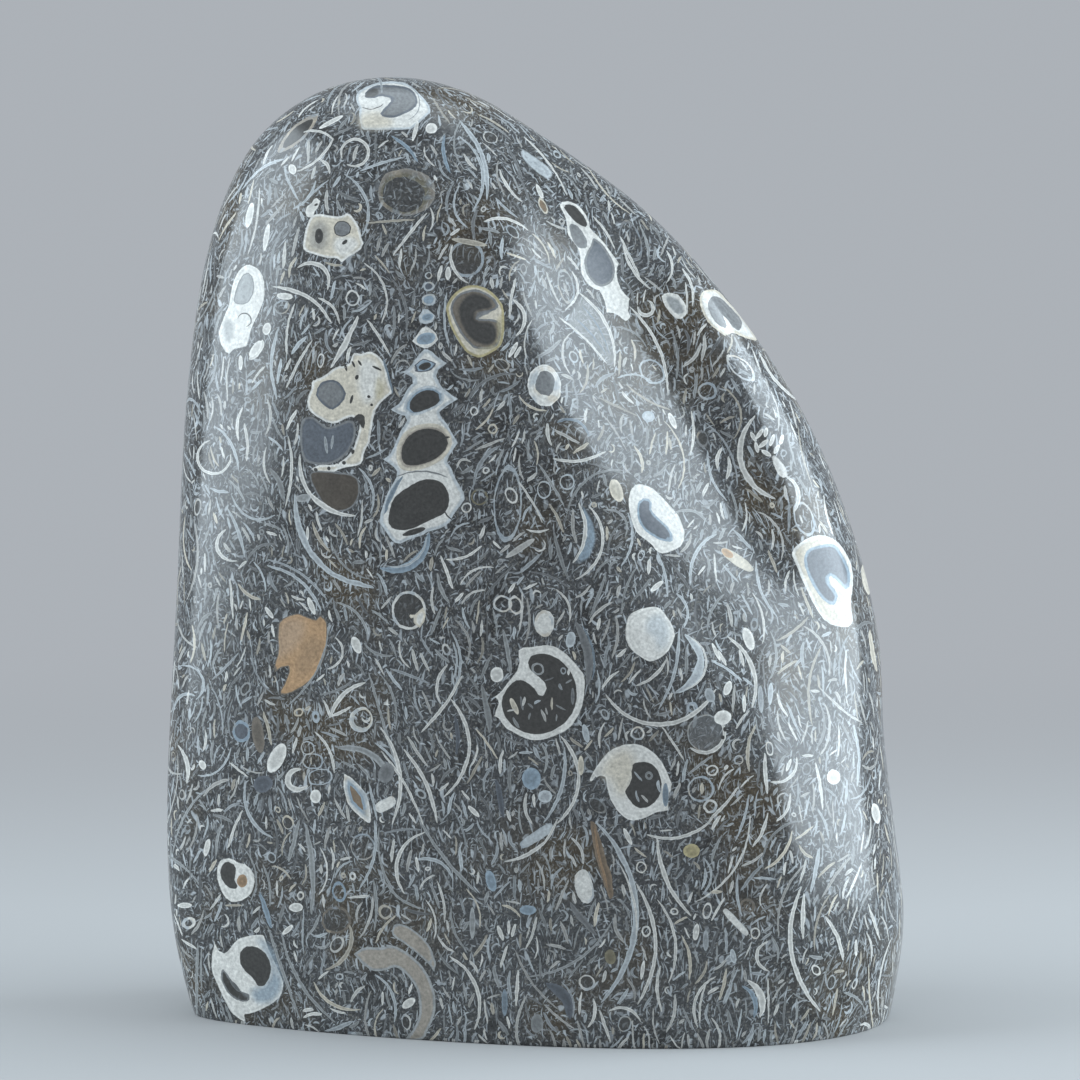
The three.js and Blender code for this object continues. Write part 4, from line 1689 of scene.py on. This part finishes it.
        (43.3, 34.6, 0.95, 1.1, 0), (-32, 31.8, 0.8, 1, 0), (-9, 29.6, 1.15, 0.35, -45),
        (49.5, 29.3, 0.6, 1.5, 12), (13.4, 25.9, 0.35, 1.3, 25), (-47.8, 24.3, 0.42, 1.3, -12),
        (-17.2, 21.8, 0.22, 1.15, 10), (-51.1, 15.8, 1, 0.4, 0), (-34.9, 15.5, 1, 0.65, 0),
        (-3.9, 12.6, 0.22, 1, 0), (-36.1, 12.2, 1, 0.36, 42), (-3.2, 12.1, 0.25, 1, -15),
        (23.4, 11.9, 0.45, 1.2, -8), (-5.1, 11.7, 0.32, 1.2, 20), (46.7, 9.5, 0.22, 1.2, 0),
        (15.6, 6.3, 0.28, 1.35, -8), (-22.3, 2.1, 0.18, 1.05, 0), (-18.5, 1.4, 1.1, 0.6, 38),
    ),
    *chips(MIST, (-43.8, 3.9, 1.1, 0.3, -50), strength=0.6),
    *chips(ASH, (0.2, -1.6, 0.9, 1.4, 0), strength=0.6),
    *chips(TAN, (-42.7, 19.4, 0.75, 0.95, 0), strength=0.6),
    *chips(CREAM, (-43.9, 15.8, 1.3, 0.16, 0), strength=0.6),
    *chips(SKY, (18.9, 32, 0.45, 1.7, 0), (-4.5, 1.5, 0.42, 2, 0), strength=0.6),
    *chips(PEARL, (24.8, 10.6, 0.42, 1.5, 0), strength=0.6),
)
SHELLS = HIGH + MIDDLE + LOW
# The larger shells, with their hollows and linings.
PATCHES = (
    # the shell on the crown, with a tongue
    patch(CHALK,
        (-25.8, 132.8), (-25.3, 134.1), (-22.3, 135.3), (-18.6, 135.1), (-16, 132.9), (-15.1, 131.4),
        (-15.3, 130.8), (-17.6, 128.8), (-19, 128.5), (-25, 128.5, 1), (-25.4, 130.6), (-25.2, 131.4, 1),
        rim=PEARL,
    ),
    patch(CREAM,
        (-25.2, 130.4), (-23, 131.2), (-20.6, 129.9), (-21.4, 128.8), (-24.9, 128.8), strength=0.9,
        soft=0.8,
    ),
    patch(MIST,
        (-24.6, 133.2), (-24, 134.3), (-22.4, 134.9), (-19, 134.7), (-17.6, 134), (-17, 132.8),
        (-17.4, 131.6), (-20, 130.3), (-21.6, 130.3), (-22.3, 130.9), (-20.4, 132.9, 1), (-22.2, 133.3),
        (-23.2, 133), rim=SLATE,
    ),
    patch(SMOKE, (-24.5, 133.2), (-24.1, 134), (-22.9, 134.5), (-22.7, 133.4), strength=0.85, soft=0.15),
    # the block with two hollows
    patch(CREAM,
        (-33, 114.6), (-31.7, 116.3), (-28.4, 116), (-27, 116.6, 1), (-25.9, 115.3), (-25.3, 114),
        (-25.2, 113.2), (-24.8, 112.2, 1), (-25.3, 111.2), (-27.2, 110), (-27.9, 109.3, 1), (-28.7, 110),
        (-30.3, 110.1), (-33.6, 111.1, 1), rim=CHALK,
    ),
    patch(MIST,
        (-32.7, 112.4), (-31.9, 114.9), (-30.5, 115.2), (-29.9, 113.6), (-30.4, 111.4), (-31.8, 111.3),
        strength=0.6, soft=0.6,
    ),
    patch(CHALK,
        (-28.8, 112.8), (-26.6, 113), (-25.5, 112), (-27.5, 110.2), (-29, 111.2), strength=0.9, soft=0.5,
    ),
    patch(MIST,
        (-29.1, 114.2), (-28.6, 115.2), (-27.8, 115.4), (-26.9, 115), (-26.5, 114.1), (-27, 113.4),
        (-28.1, 113.1), (-28.8, 113.4), rim=SMOKE, rim_wide=0.12,
    ),
    patch(CHALK,
        (-33, 116), (-33, 117.3), (-32.2, 118), (-31.7, 118.7), (-31, 118.7, 1), (-31.2, 117.6),
        (-31.9, 116.6), (-32, 115.9, 1),
    ),
    # the white oval on the left
    patch(CHALK,
        (-44.2, 103.4), (-43.8, 105.8), (-43, 107.8), (-41.8, 109), (-40.6, 108.8), (-39.5, 107.8),
        (-39.1, 105.8), (-39.2, 104.2), (-40, 102), (-41.1, 99.6), (-41.7, 97.2, 1), (-43.5, 96.9),
        (-44.4, 96, 1), (-45.4, 97.6), (-45.7, 99.4), (-45, 101.4),
    ),
    patch(ASH,
        (-43.5, 103.6), (-43.1, 105.8), (-42.2, 107.6), (-41.1, 107.8), (-40.6, 106.2), (-40.9, 104.4),
        (-41.9, 103.4), rim=MIST, rim_wide=0.15,
    ),
    patch(ASH,
        (-44.9, 101), (-43.8, 101), (-43.6, 99.4), (-44, 97.9), (-44.7, 98), (-45.1, 99.6), strength=0.8,
        soft=0.3,
    ),
    # the cream cluster: its lower hollow, then both lobes, the dotted band and the tail
    patch(SLATE,
        (-33.6, 86.8), (-32, 87), (-30, 85.6), (-26.8, 86.6), (-26, 85.6), (-26.1, 84), (-26.9, 82.2),
        (-28.4, 80.8), (-30, 80.2), (-31.9, 80.2), (-33.4, 80.8), (-34, 82.6), (-34, 85), rim=MIST,
    ),
    patch(CREAM,
        (-26.7, 95), (-26.4, 96.4), (-25.2, 96.2), (-23.8, 96.5), (-22.4, 95.6), (-21.6, 94), (-21.2, 92),
        (-20.4, 90.3, 1), (-21.4, 90), (-23.2, 87.8), (-24, 83.2, 1), (-24.8, 82), (-25, 80.2, 1),
        (-28.4, 79.5), (-29.8, 78.7), (-31.6, 78.8), (-32.9, 79.3, 1), (-31.2, 80.1), (-29.4, 80.1),
        (-27.6, 81), (-26.3, 82.6), (-25.4, 85.8), (-26, 86.8), (-27, 87), (-29.4, 86.1), (-32.3, 87.6),
        (-32.9, 88.6), (-32.9, 90), (-32.2, 91.6), (-32.9, 92.8, 1), (-31.2, 92.6), (-28.9, 94.2),
        (-27.8, 94.4), rim=CHALK,
    ),
    patch(CHALK,
        (-25, 95.5), (-23.2, 95), (-22.3, 93), (-22.6, 90.4), (-24.4, 89), (-25.5, 91), (-25.6, 93.6),
        strength=0.9, soft=0.8,
    ),
    patch(HONEY,
        (-22.8, 92.8), (-21.9, 91.8), (-22, 90.2), (-23, 89.6), (-23.2, 91.2), strength=0.55, soft=0.5,
    ),
    patch(MIST,
        (-31.7, 90.6), (-31.2, 91.8), (-30, 92.4), (-28.6, 92.2), (-27.6, 91), (-27.5, 89.8), (-29.4, 88.1),
        (-31.4, 89.6), rim=SLATE,
    ),
    patch(SMOKE, (-26.4, 87), (-25.4, 87.6), (-24.6, 86.7), (-25.1, 84, 1), (-25.2, 85.4), (-25.7, 86.6)),
    # the brown hollow under it
    patch(LOAM,
        (-32.6, 79), (-28.5, 79), (-26, 78.4), (-25.4, 76.5), (-26, 74.5), (-27.6, 73.4), (-29.6, 73.6),
        (-31.4, 75.4), rim=MIST, rim_wide=0.2, soft=0.1,
    ),
    # the spire: four chambers that share one wall, then two small ones
    patch(CHALK,
        (-17.2, 95.6), (-15.7, 96.9), (-14, 95.6), (-12.5, 94.7, 1), (-13.8, 94.1), (-14.4, 93.1),
        (-13.2, 91), (-11, 89.8, 1), (-13.5, 88.2), (-13.8, 87.3), (-12.8, 86), (-11.2, 83.2, 1),
        (-12.4, 81.6), (-12.9, 80.8), (-12.3, 79.8), (-11.5, 78), (-10, 75.5, 1), (-12, 72.6),
        (-12.3, 71.7, 1), (-13.8, 70.9), (-15.6, 70.4), (-16.4, 69.9), (-18, 69.4), (-19.6, 68.7),
        (-20.8, 69.2), (-22.7, 72, 1), (-21.6, 75.6), (-20, 79), (-22.2, 81, 1), (-21, 81.7), (-19.6, 84.8),
        (-18.4, 87), (-19.6, 87.4), (-21.2, 88.3, 1), (-19.8, 88.9), (-18.3, 91.4), (-17.4, 92.4),
        (-19.6, 93.6, 1), (-18.4, 94), rim=PEARL, rim_wide=0.45,
    ),
    patch(CHALK, (-18, 97.8, 1), (-17, 99), (-16.4, 99.9), (-15.4, 100), (-13.8, 98.6, 1), (-15.6, 97)),
    patch(PEARL,
        (-17.2, 101, 1), (-16.6, 102), (-15.8, 102.7), (-14.1, 101.4, 1), (-14.9, 100.8), (-16, 100.5),
    ),
    patch(SKY,
        (-17.9, 94), (-17.1, 94.9), (-16, 95.5), (-14.2, 94.6), (-15.2, 93.8), (-16.8, 93.5), rim=SLATE,
        rim_wide=0.15,
    ),
    patch(SKY,
        (-19.1, 88.6), (-18.4, 90), (-17, 91.2), (-15.2, 91.6), (-13.6, 91), (-13.1, 90), (-13.8, 88.8),
        (-17, 87.3), (-18.6, 87.6), rim=PEARL, rim_wide=0.35,
    ),
    patch(SMOKE,
        (-18.3, 88.7), (-17.5, 90.1), (-16, 90.9), (-14.5, 90.8), (-13.8, 89.9), (-14.4, 88.8),
        (-17.3, 87.7),
    ),
    patch(FAWN,
        (-20.1, 81.2), (-19.9, 83.2), (-18.7, 85), (-16.6, 86), (-14.2, 86), (-12.5, 84.9), (-12.1, 83),
        (-13.4, 81), (-15.8, 79.7), (-18.4, 79.2), (-19.7, 79.8), rim=CREAM, rim_wide=0.5,
    ),
    patch(SMOKE,
        (-19.4, 81.4), (-19.2, 82.9), (-18.2, 84.4), (-16.4, 85.3), (-14.4, 85.2), (-13, 84.3),
        (-12.7, 82.9), (-13.9, 81.4), (-15.8, 80.4), (-17.8, 80), (-19, 80.3),
    ),
    patch(SMOKE,
        (-21.3, 72.2), (-21, 74), (-20.2, 75.6), (-17, 77.7), (-15, 78), (-13.4, 77.4), (-12.6, 75.9),
        (-12.5, 74.4), (-13.2, 73.1), (-14.8, 72.3), (-18.4, 70.7), (-20.9, 71),
    ),
    # the ring with a yellow edge
    patch(CREAM,
        (-13, 103, 1), (-12.2, 104.3), (-10.8, 105.6), (-9, 106.1), (-7, 105.6), (-5.4, 104.2),
        (-4.6, 102.6), (-4.6, 98.8), (-5.4, 97), (-7.8, 95.7), (-9, 95.9), (-10.3, 96.8), (-12.2, 100),
        rim=HONEY, rim_wide=0.35,
    ),
    patch(STONE,
        (-12.3, 102.8), (-11.2, 104.7), (-9, 105.5), (-7.1, 105), (-5.7, 103.9), (-5.1, 102.7, 1),
        (-6.8, 102.2), (-8.2, 101.9), (-8.2, 101.3), (-5.2, 100.8), (-5.5, 97.4), (-8.4, 96.9), (-10, 98.1),
        (-11.3, 100), rim=MIST,
    ),
    patch(HONEY,
        (-8.4, 96), (-6, 96.8), (-4.7, 99), (-4.8, 102), (-5.6, 101), (-5.5, 99), (-6.4, 97.4),
        (-8.4, 96.9), strength=0.6, soft=0.35,
    ),
    patch(SMOKE,
        (-11, 103), (-10, 104.4), (-8.8, 104.9), (-7.2, 104.4), (-6.3, 103.5), (-6.5, 102.8), (-8.5, 102.4),
        (-8.9, 101.5), (-8.3, 100.9), (-6.5, 100.7), (-5.7, 99.8), (-5.8, 98.2), (-6.9, 97.5), (-8.3, 97.8),
        (-9.8, 99), (-10.8, 101), soft=0.25,
    ),
    # the second chambered shell
    patch(CHALK,
        (3.5, 117.7), (4.3, 118.2), (5.6, 117.9), (6.9, 116.8), (7.8, 115), (7.9, 114.2), (9.4, 112.8),
        (11.5, 110), (12, 109.4), (11.7, 108.2), (11.9, 106.6), (12.6, 105.2), (13.7, 104, 1),
        (13.3, 102.6), (13.8, 101.4, 1), (12.9, 100.9), (12.2, 101.6), (11.2, 102.1), (10.1, 102.3),
        (10.2, 103.4), (9.6, 104.4), (9.8, 105.2), (8.5, 105.6), (7.3, 106.6), (6.6, 108), (6.3, 111),
        (4.7, 113.4), (4.6, 114.6), (4.3, 116),
    ),
    patch(SMOKE,
        (4.1, 117.4), (4.9, 117.8), (6, 117.2), (7.2, 115.6), (7.4, 114.5), (6.4, 114.8), (5.2, 115.8),
    ),
    patch(MIST, (4.9, 114.9), (6.2, 114.5), (7.3, 112.8), (7.4, 111.6), (6.2, 111.5), (5.3, 112.8)),
    patch(SLATE,
        (8.4, 112.9), (9.8, 111.8), (11, 109.9), (11.5, 108.2), (10.9, 106.5), (9.2, 105.9), (7.7, 107.2),
        (7, 109.2), (7.4, 110.8), (8, 111.8), rim=MIST,
    ),
    # the leaf and the slab beside the ridge
    patch(ASH,
        (6.6, 104.6, 1), (8.4, 103.3), (10.1, 101.1), (11.2, 98.2), (11.6, 95.7), (11, 94, 1), (7.9, 97.5),
        (4.8, 100.8), (5.6, 102.6), strength=0.5, soft=0.45,
    ),
    patch(PEARL,
        (-2.3, 126, 1), (-0.8, 125), (1.7, 123.2), (2.4, 122.2), (1.8, 121.4), (-0.1, 122.7), (-1.7, 124.3),
        strength=0.85, soft=0.12,
    ),
    # the shells on the right shoulder
    patch(ASH,
        (18.2, 104.4), (19, 105), (20.4, 104.8), (21.5, 103.6), (21.9, 102.2), (21, 101.2), (20.2, 101.4),
        (19, 102.6), rim=CHALK, rim_wide=0.5,
    ),
    patch(CHALK,
        (23.7, 103.6), (24, 105), (25.4, 105.5), (26.4, 105.2), (28.5, 103), (30.6, 100.6), (32.2, 98, 1),
        (30, 98.6), (28.6, 99.3), (27.6, 98.6, 1), (25.6, 100.1), (24.5, 101.4), rim=CREAM,
    ),
    patch(MIST,
        (24.9, 103.6), (25.6, 104.5), (26.8, 104.2), (28.2, 102.8), (29.8, 100.9), (29.4, 99.6),
        (28.6, 100), (26.8, 102.3, 1), (27.6, 100.2), (27, 99.9), (26, 100.8), (25.1, 102.2),
    ),
    patch(CHALK,
        (13.9, 76.7), (14.8, 77.3), (16, 77.1), (17.5, 76.2), (20.5, 73), (21.3, 71.2), (21.6, 70),
        (21, 68.3), (18.8, 67.3), (17.6, 67.5), (16.9, 68.5), (14.5, 70.6), (13.5, 74.2),
    ),
    patch(SLATE,
        (15, 75), (16.4, 75.2), (16.9, 74.3), (16.9, 73.3), (19.3, 70.9), (20, 69.1), (18.4, 69.1),
        (16.6, 70), (15.2, 71.4), (14.7, 73.2), rim=SKY,
    ),
    patch(CREAM,
        (37, 67.4, 1), (38, 68.5), (39.5, 69.5), (41.3, 69.9), (43.2, 69.3), (44.8, 67.6), (45.8, 65.3),
        (46, 62.8), (45.7, 60.4), (46, 57.3, 1), (45.2, 56.5), (42.2, 57.3), (39.9, 60.7), rim=CHALK,
        rim_wide=0.45,
    ),
    patch(SLATE,
        (39, 66.8), (39.8, 68), (43, 68.6), (44.5, 67), (45.4, 65), (45.6, 63.2), (45, 62), (43, 63.9),
        (42.3, 63.5), (42.8, 62.6), (43.8, 61.4), (43.6, 60.2), (42.8, 59.7), (40.9, 61.4), (39.1, 65),
        rim=SKY, rim_wide=0.4,
    ),
    patch(CREAM, (47.5, 65.9), (48.4, 64.8), (48.7, 62.4), (48.3, 61.2), (47.5, 62.6), (47.2, 64.6)),
    # the white disc
    patch(CHALK,
        (13.3, 57.6), (14.6, 58.9), (16.4, 59.4), (18.2, 59.1), (20, 56.4), (20.1, 54.9), (19.2, 53),
        (17.6, 51.8), (16, 51.7), (13.3, 54.1),
    ),
    patch(PEARL,
        (16.4, 57.8), (18, 58.4), (19.1, 57.2), (19.4, 55.4), (18.8, 53.7), (17.6, 53.2), (17.4, 54.8),
        (16.3, 55.6), (16, 56.6), soft=0.7, strength=0.8,
    ),
    # the white bit among the splinters on the right
    patch(CHALK,
        (34, 81.6), (35, 81.2), (36.2, 79.6), (36.4, 78.3), (35.4, 78.4), (34.6, 79.8), strength=0.85,
    ),
    # the large ring with a lobe
    patch(CHALK,
        (-2.5, 53.5, 1), (-0.5, 53.6), (1.8, 53.9), (3.8, 53.1), (5.6, 51.4), (7.2, 49.3, 1), (6.9, 45.6),
        (6, 43.3), (4.3, 41.4), (0, 40), (-4, 41.6), (-5.3, 43.2), (-6.4, 43.6, 1), (-5.6, 44.6),
        (-5.3, 45.6), (-6.2, 46.7, 1), (-5.1, 46.9), (-4.4, 48), (-2.5, 50.4), (-2.4, 52),
    ),
    patch(SMOKE,
        (-1, 52), (0.2, 52.6), (2, 52.5), (3.8, 51.5), (5.2, 49.8), (5.9, 47.8), (5.9, 45.6), (5.1, 43.6),
        (3.4, 41.9), (1.2, 41), (-1, 41), (-3, 41.9), (-4.5, 43.6), (-4.9, 45.6), (-4.3, 47.3),
        (-3.1, 48.6), (-2, 48.8), (-0.4, 47.8), (0.5, 46.6), (1.1, 46.5), (1.6, 47.5), (1.1, 48.7),
        (-0.8, 50.4), open=True,
    ),
    # the thick crescent
    patch(CHALK,
        (7.8, 33.6, 1), (8.3, 35.2), (11, 38.6), (14.8, 39.4), (18, 37.3), (20, 33.1, 1), (19.4, 32.2),
        (19.3, 29.6, 1), (17.6, 29.5), (16, 28.7), (13.8, 28.3), (12.2, 29.4), (11, 31.2), (10.4, 33.2),
        (10.2, 34.6), (9.2, 34.8),
    ),
    patch(CREAM,
        (9.6, 35.4), (11, 37.8), (13.2, 38.6), (14.4, 37.2), (14.6, 35.4), (13.4, 32.6), (12.2, 32),
        (11, 34), strength=0.9, soft=1.2,
    ),
    patch(SMOKE,
        (14, 36.3), (15, 36.8), (16.5, 36.7), (17.7, 35.7), (18.3, 34), (18.2, 32.3), (17.3, 30.9),
        (15.9, 30.1), (14.4, 30.4), (13, 32.4), (13.6, 33.4), (14, 34.6), open=True,
    ),
    # the tan piece
    patch(TAN,
        (-37, 57.5), (-34.5, 58.6, 1), (-31.9, 57.6), (-31.5, 58.3, 1), (-30.6, 57.8), (-30.2, 56.5),
        (-30.6, 52.2), (-32.6, 48.8), (-35.5, 46.9), (-37.4, 46.6, 1), (-36.1, 49), (-35.7, 50.8, 1),
        (-36.9, 50.6), (-37.8, 49.8, 1), (-37.9, 51), (-37.3, 53), (-37.4, 55), rim=STONE, rim_wide=0.14,
    ),
    patch(ASH,
        (-37.2, 57), (-35.2, 57.8), (-33.6, 57.2), (-33.8, 55), (-35.4, 53), (-37.4, 52), (-37.6, 54.4),
        strength=0.2, soft=1.0,
    ),
    patch(RUST,
        (-33.6, 54.4), (-31.6, 55), (-30.8, 53), (-32.2, 50.6), (-34.2, 49.4), (-34.8, 51.4), strength=0.35,
        soft=1.0,
    ),
    # the hook in the ring under the spire
    patch(CHALK,
        (-18.7, 58.9, 1), (-17.8, 58.2), (-16.9, 58.8), (-16.5, 59.6), (-15.9, 58.3), (-16.3, 57),
        (-16.9, 56.3, 1), (-17.8, 57.4), rim=CREAM,
    ),
    # the blue crescent
    patch(SKY,
        (6.6, 74.4, 1), (7.9, 72.4), (8.6, 70), (8.3, 68), (7.3, 66.3), (5.6, 65.9, 1), (7, 68.4),
        (7.4, 70.4), (7.1, 72.4), strength=0.85, soft=0.25,
    ),
    # the white splinter
    patch(CHALK, (-22.3, 45.2, 1), (-21.6, 46.4, 1), (-20.9, 45.1, 1)),
    # the comma
    patch(CHALK,
        (-46.1, 22), (-45, 22.7), (-44, 22.6), (-43.4, 22), (-42.6, 22), (-41.4, 21.1), (-40.9, 19.6),
        (-41.3, 17.8), (-42.6, 16.6), (-44.2, 16.3), (-45.2, 17), (-46.3, 19.6),
    ),
    patch(SMOKE,
        (-45.9, 20.8), (-45.3, 22.1), (-44.3, 22.1), (-43.6, 21.4), (-43.8, 19.4), (-43.3, 18.6),
        (-43.9, 18.1), (-44.9, 18.6), (-45.7, 19.7),
    ),
    # the shell with two hollows, at the foot
    patch(CHALK,
        (-46.8, 11, 1), (-46.6, 9.8), (-45.9, 8.9), (-45, 8.9), (-43, 11), (-39.4, 11.5, 1), (-39.1, 9.8),
        (-37.1, 5.4), (-36.8, 3.8), (-37.4, 2.2), (-39.2, 0.9), (-41.2, 0), (-42.5, -0.3), (-42.1, -1.5, 1),
        (-43.6, -0.6), (-44.8, 0.8), (-46.9, 5.4), (-47.2, 7.6),
    ),
    patch(SKY,
        (-40.6, 11), (-38.6, 9.6), (-37.2, 6), (-37.1, 3.4), (-38.6, 1.6), (-40.8, 1.6), (-41.4, 3.4),
        (-39.6, 4), (-38.5, 6), (-38.9, 8), strength=0.85, soft=0.7,
    ),
    patch(SMOKE,
        (-43.1, 8.6), (-42.4, 9.6), (-41.2, 9.8), (-39.8, 9.2), (-38.8, 7.8), (-38.6, 6), (-39.2, 4.4),
        (-40.2, 3.7), (-41.3, 5.2), (-42.4, 6.2), (-43, 7.2),
    ),
    patch(SMOKE,
        (-45.9, 6.1), (-45.4, 6.4), (-44.2, 4.6), (-43, 3.2), (-41.7, 2.7), (-41.6, 2), (-42.4, 1.6),
        (-43.6, 1.9), (-44.9, 3), (-45.7, 4.6), rim=MIST, rim_wide=0.2,
    ),
    # the two grey bands at the foot
    patch(FAWN,
        (-20.9, 12.5), (-20.2, 13.1), (-18.6, 12.7), (-16.6, 11.2), (-15.3, 9.6), (-14.6, 7.6),
        (-14.4, 6.1, 1), (-15, 6.2), (-16, 7.6), (-19.4, 10.4), (-20.8, 11.3), rim=ASH, rim_wide=0.25,
    ),
    patch(FAWN,
        (-26.5, 8.6, 1), (-25, 9.6), (-22.4, 9.6), (-21.2, 9.9), (-19.4, 9.3), (-17.2, 7.6), (-15.6, 5.4),
        (-14.7, 2.8), (-14.7, 0), (-15.6, -2.4), (-16.6, -4), (-19, -4), (-17.8, -2.4), (-17, -0.4),
        (-17, 2), (-17.6, 4), (-19, 5.8), (-20.4, 6.7), (-22, 6.2), (-23.6, 6.2), (-25, 7), rim=ASH,
        rim_wide=0.35,
    ),
)


def main() -> None:
    """Builds the stone and its studio."""
    logging.basicConfig(level=logging.INFO, format="%(message)s")
    studio = Studio()
    stone = StoneBody().build()
    bed = ShellBed(stone.data, studio.eye())
    for piece in PATCHES:
        if not bed.inlay(piece):
            log.info("no room at %.1f, %.1f", *piece.outline[0][:2])
    for cut in SHELLS:
        if not bed.plan(cut):
            log.info("no room at %.1f, %.1f", cut.across, cut.up)
    log.info("placed %d shells, %d lost", bed.laid, bed.lost)
    ShellRubble().fill(bed)
    log.info("laid %d, lost %d", bed.laid, bed.lost)
    bed.store()
    stone.data.materials.append(AgateFinish().make())
    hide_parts(NODE)
    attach(stone, BODY)
    log.info("%s: %d faces", stone.name, len(stone.data.polygons))
    studio.build()


if __name__ == "__main__":
    main()
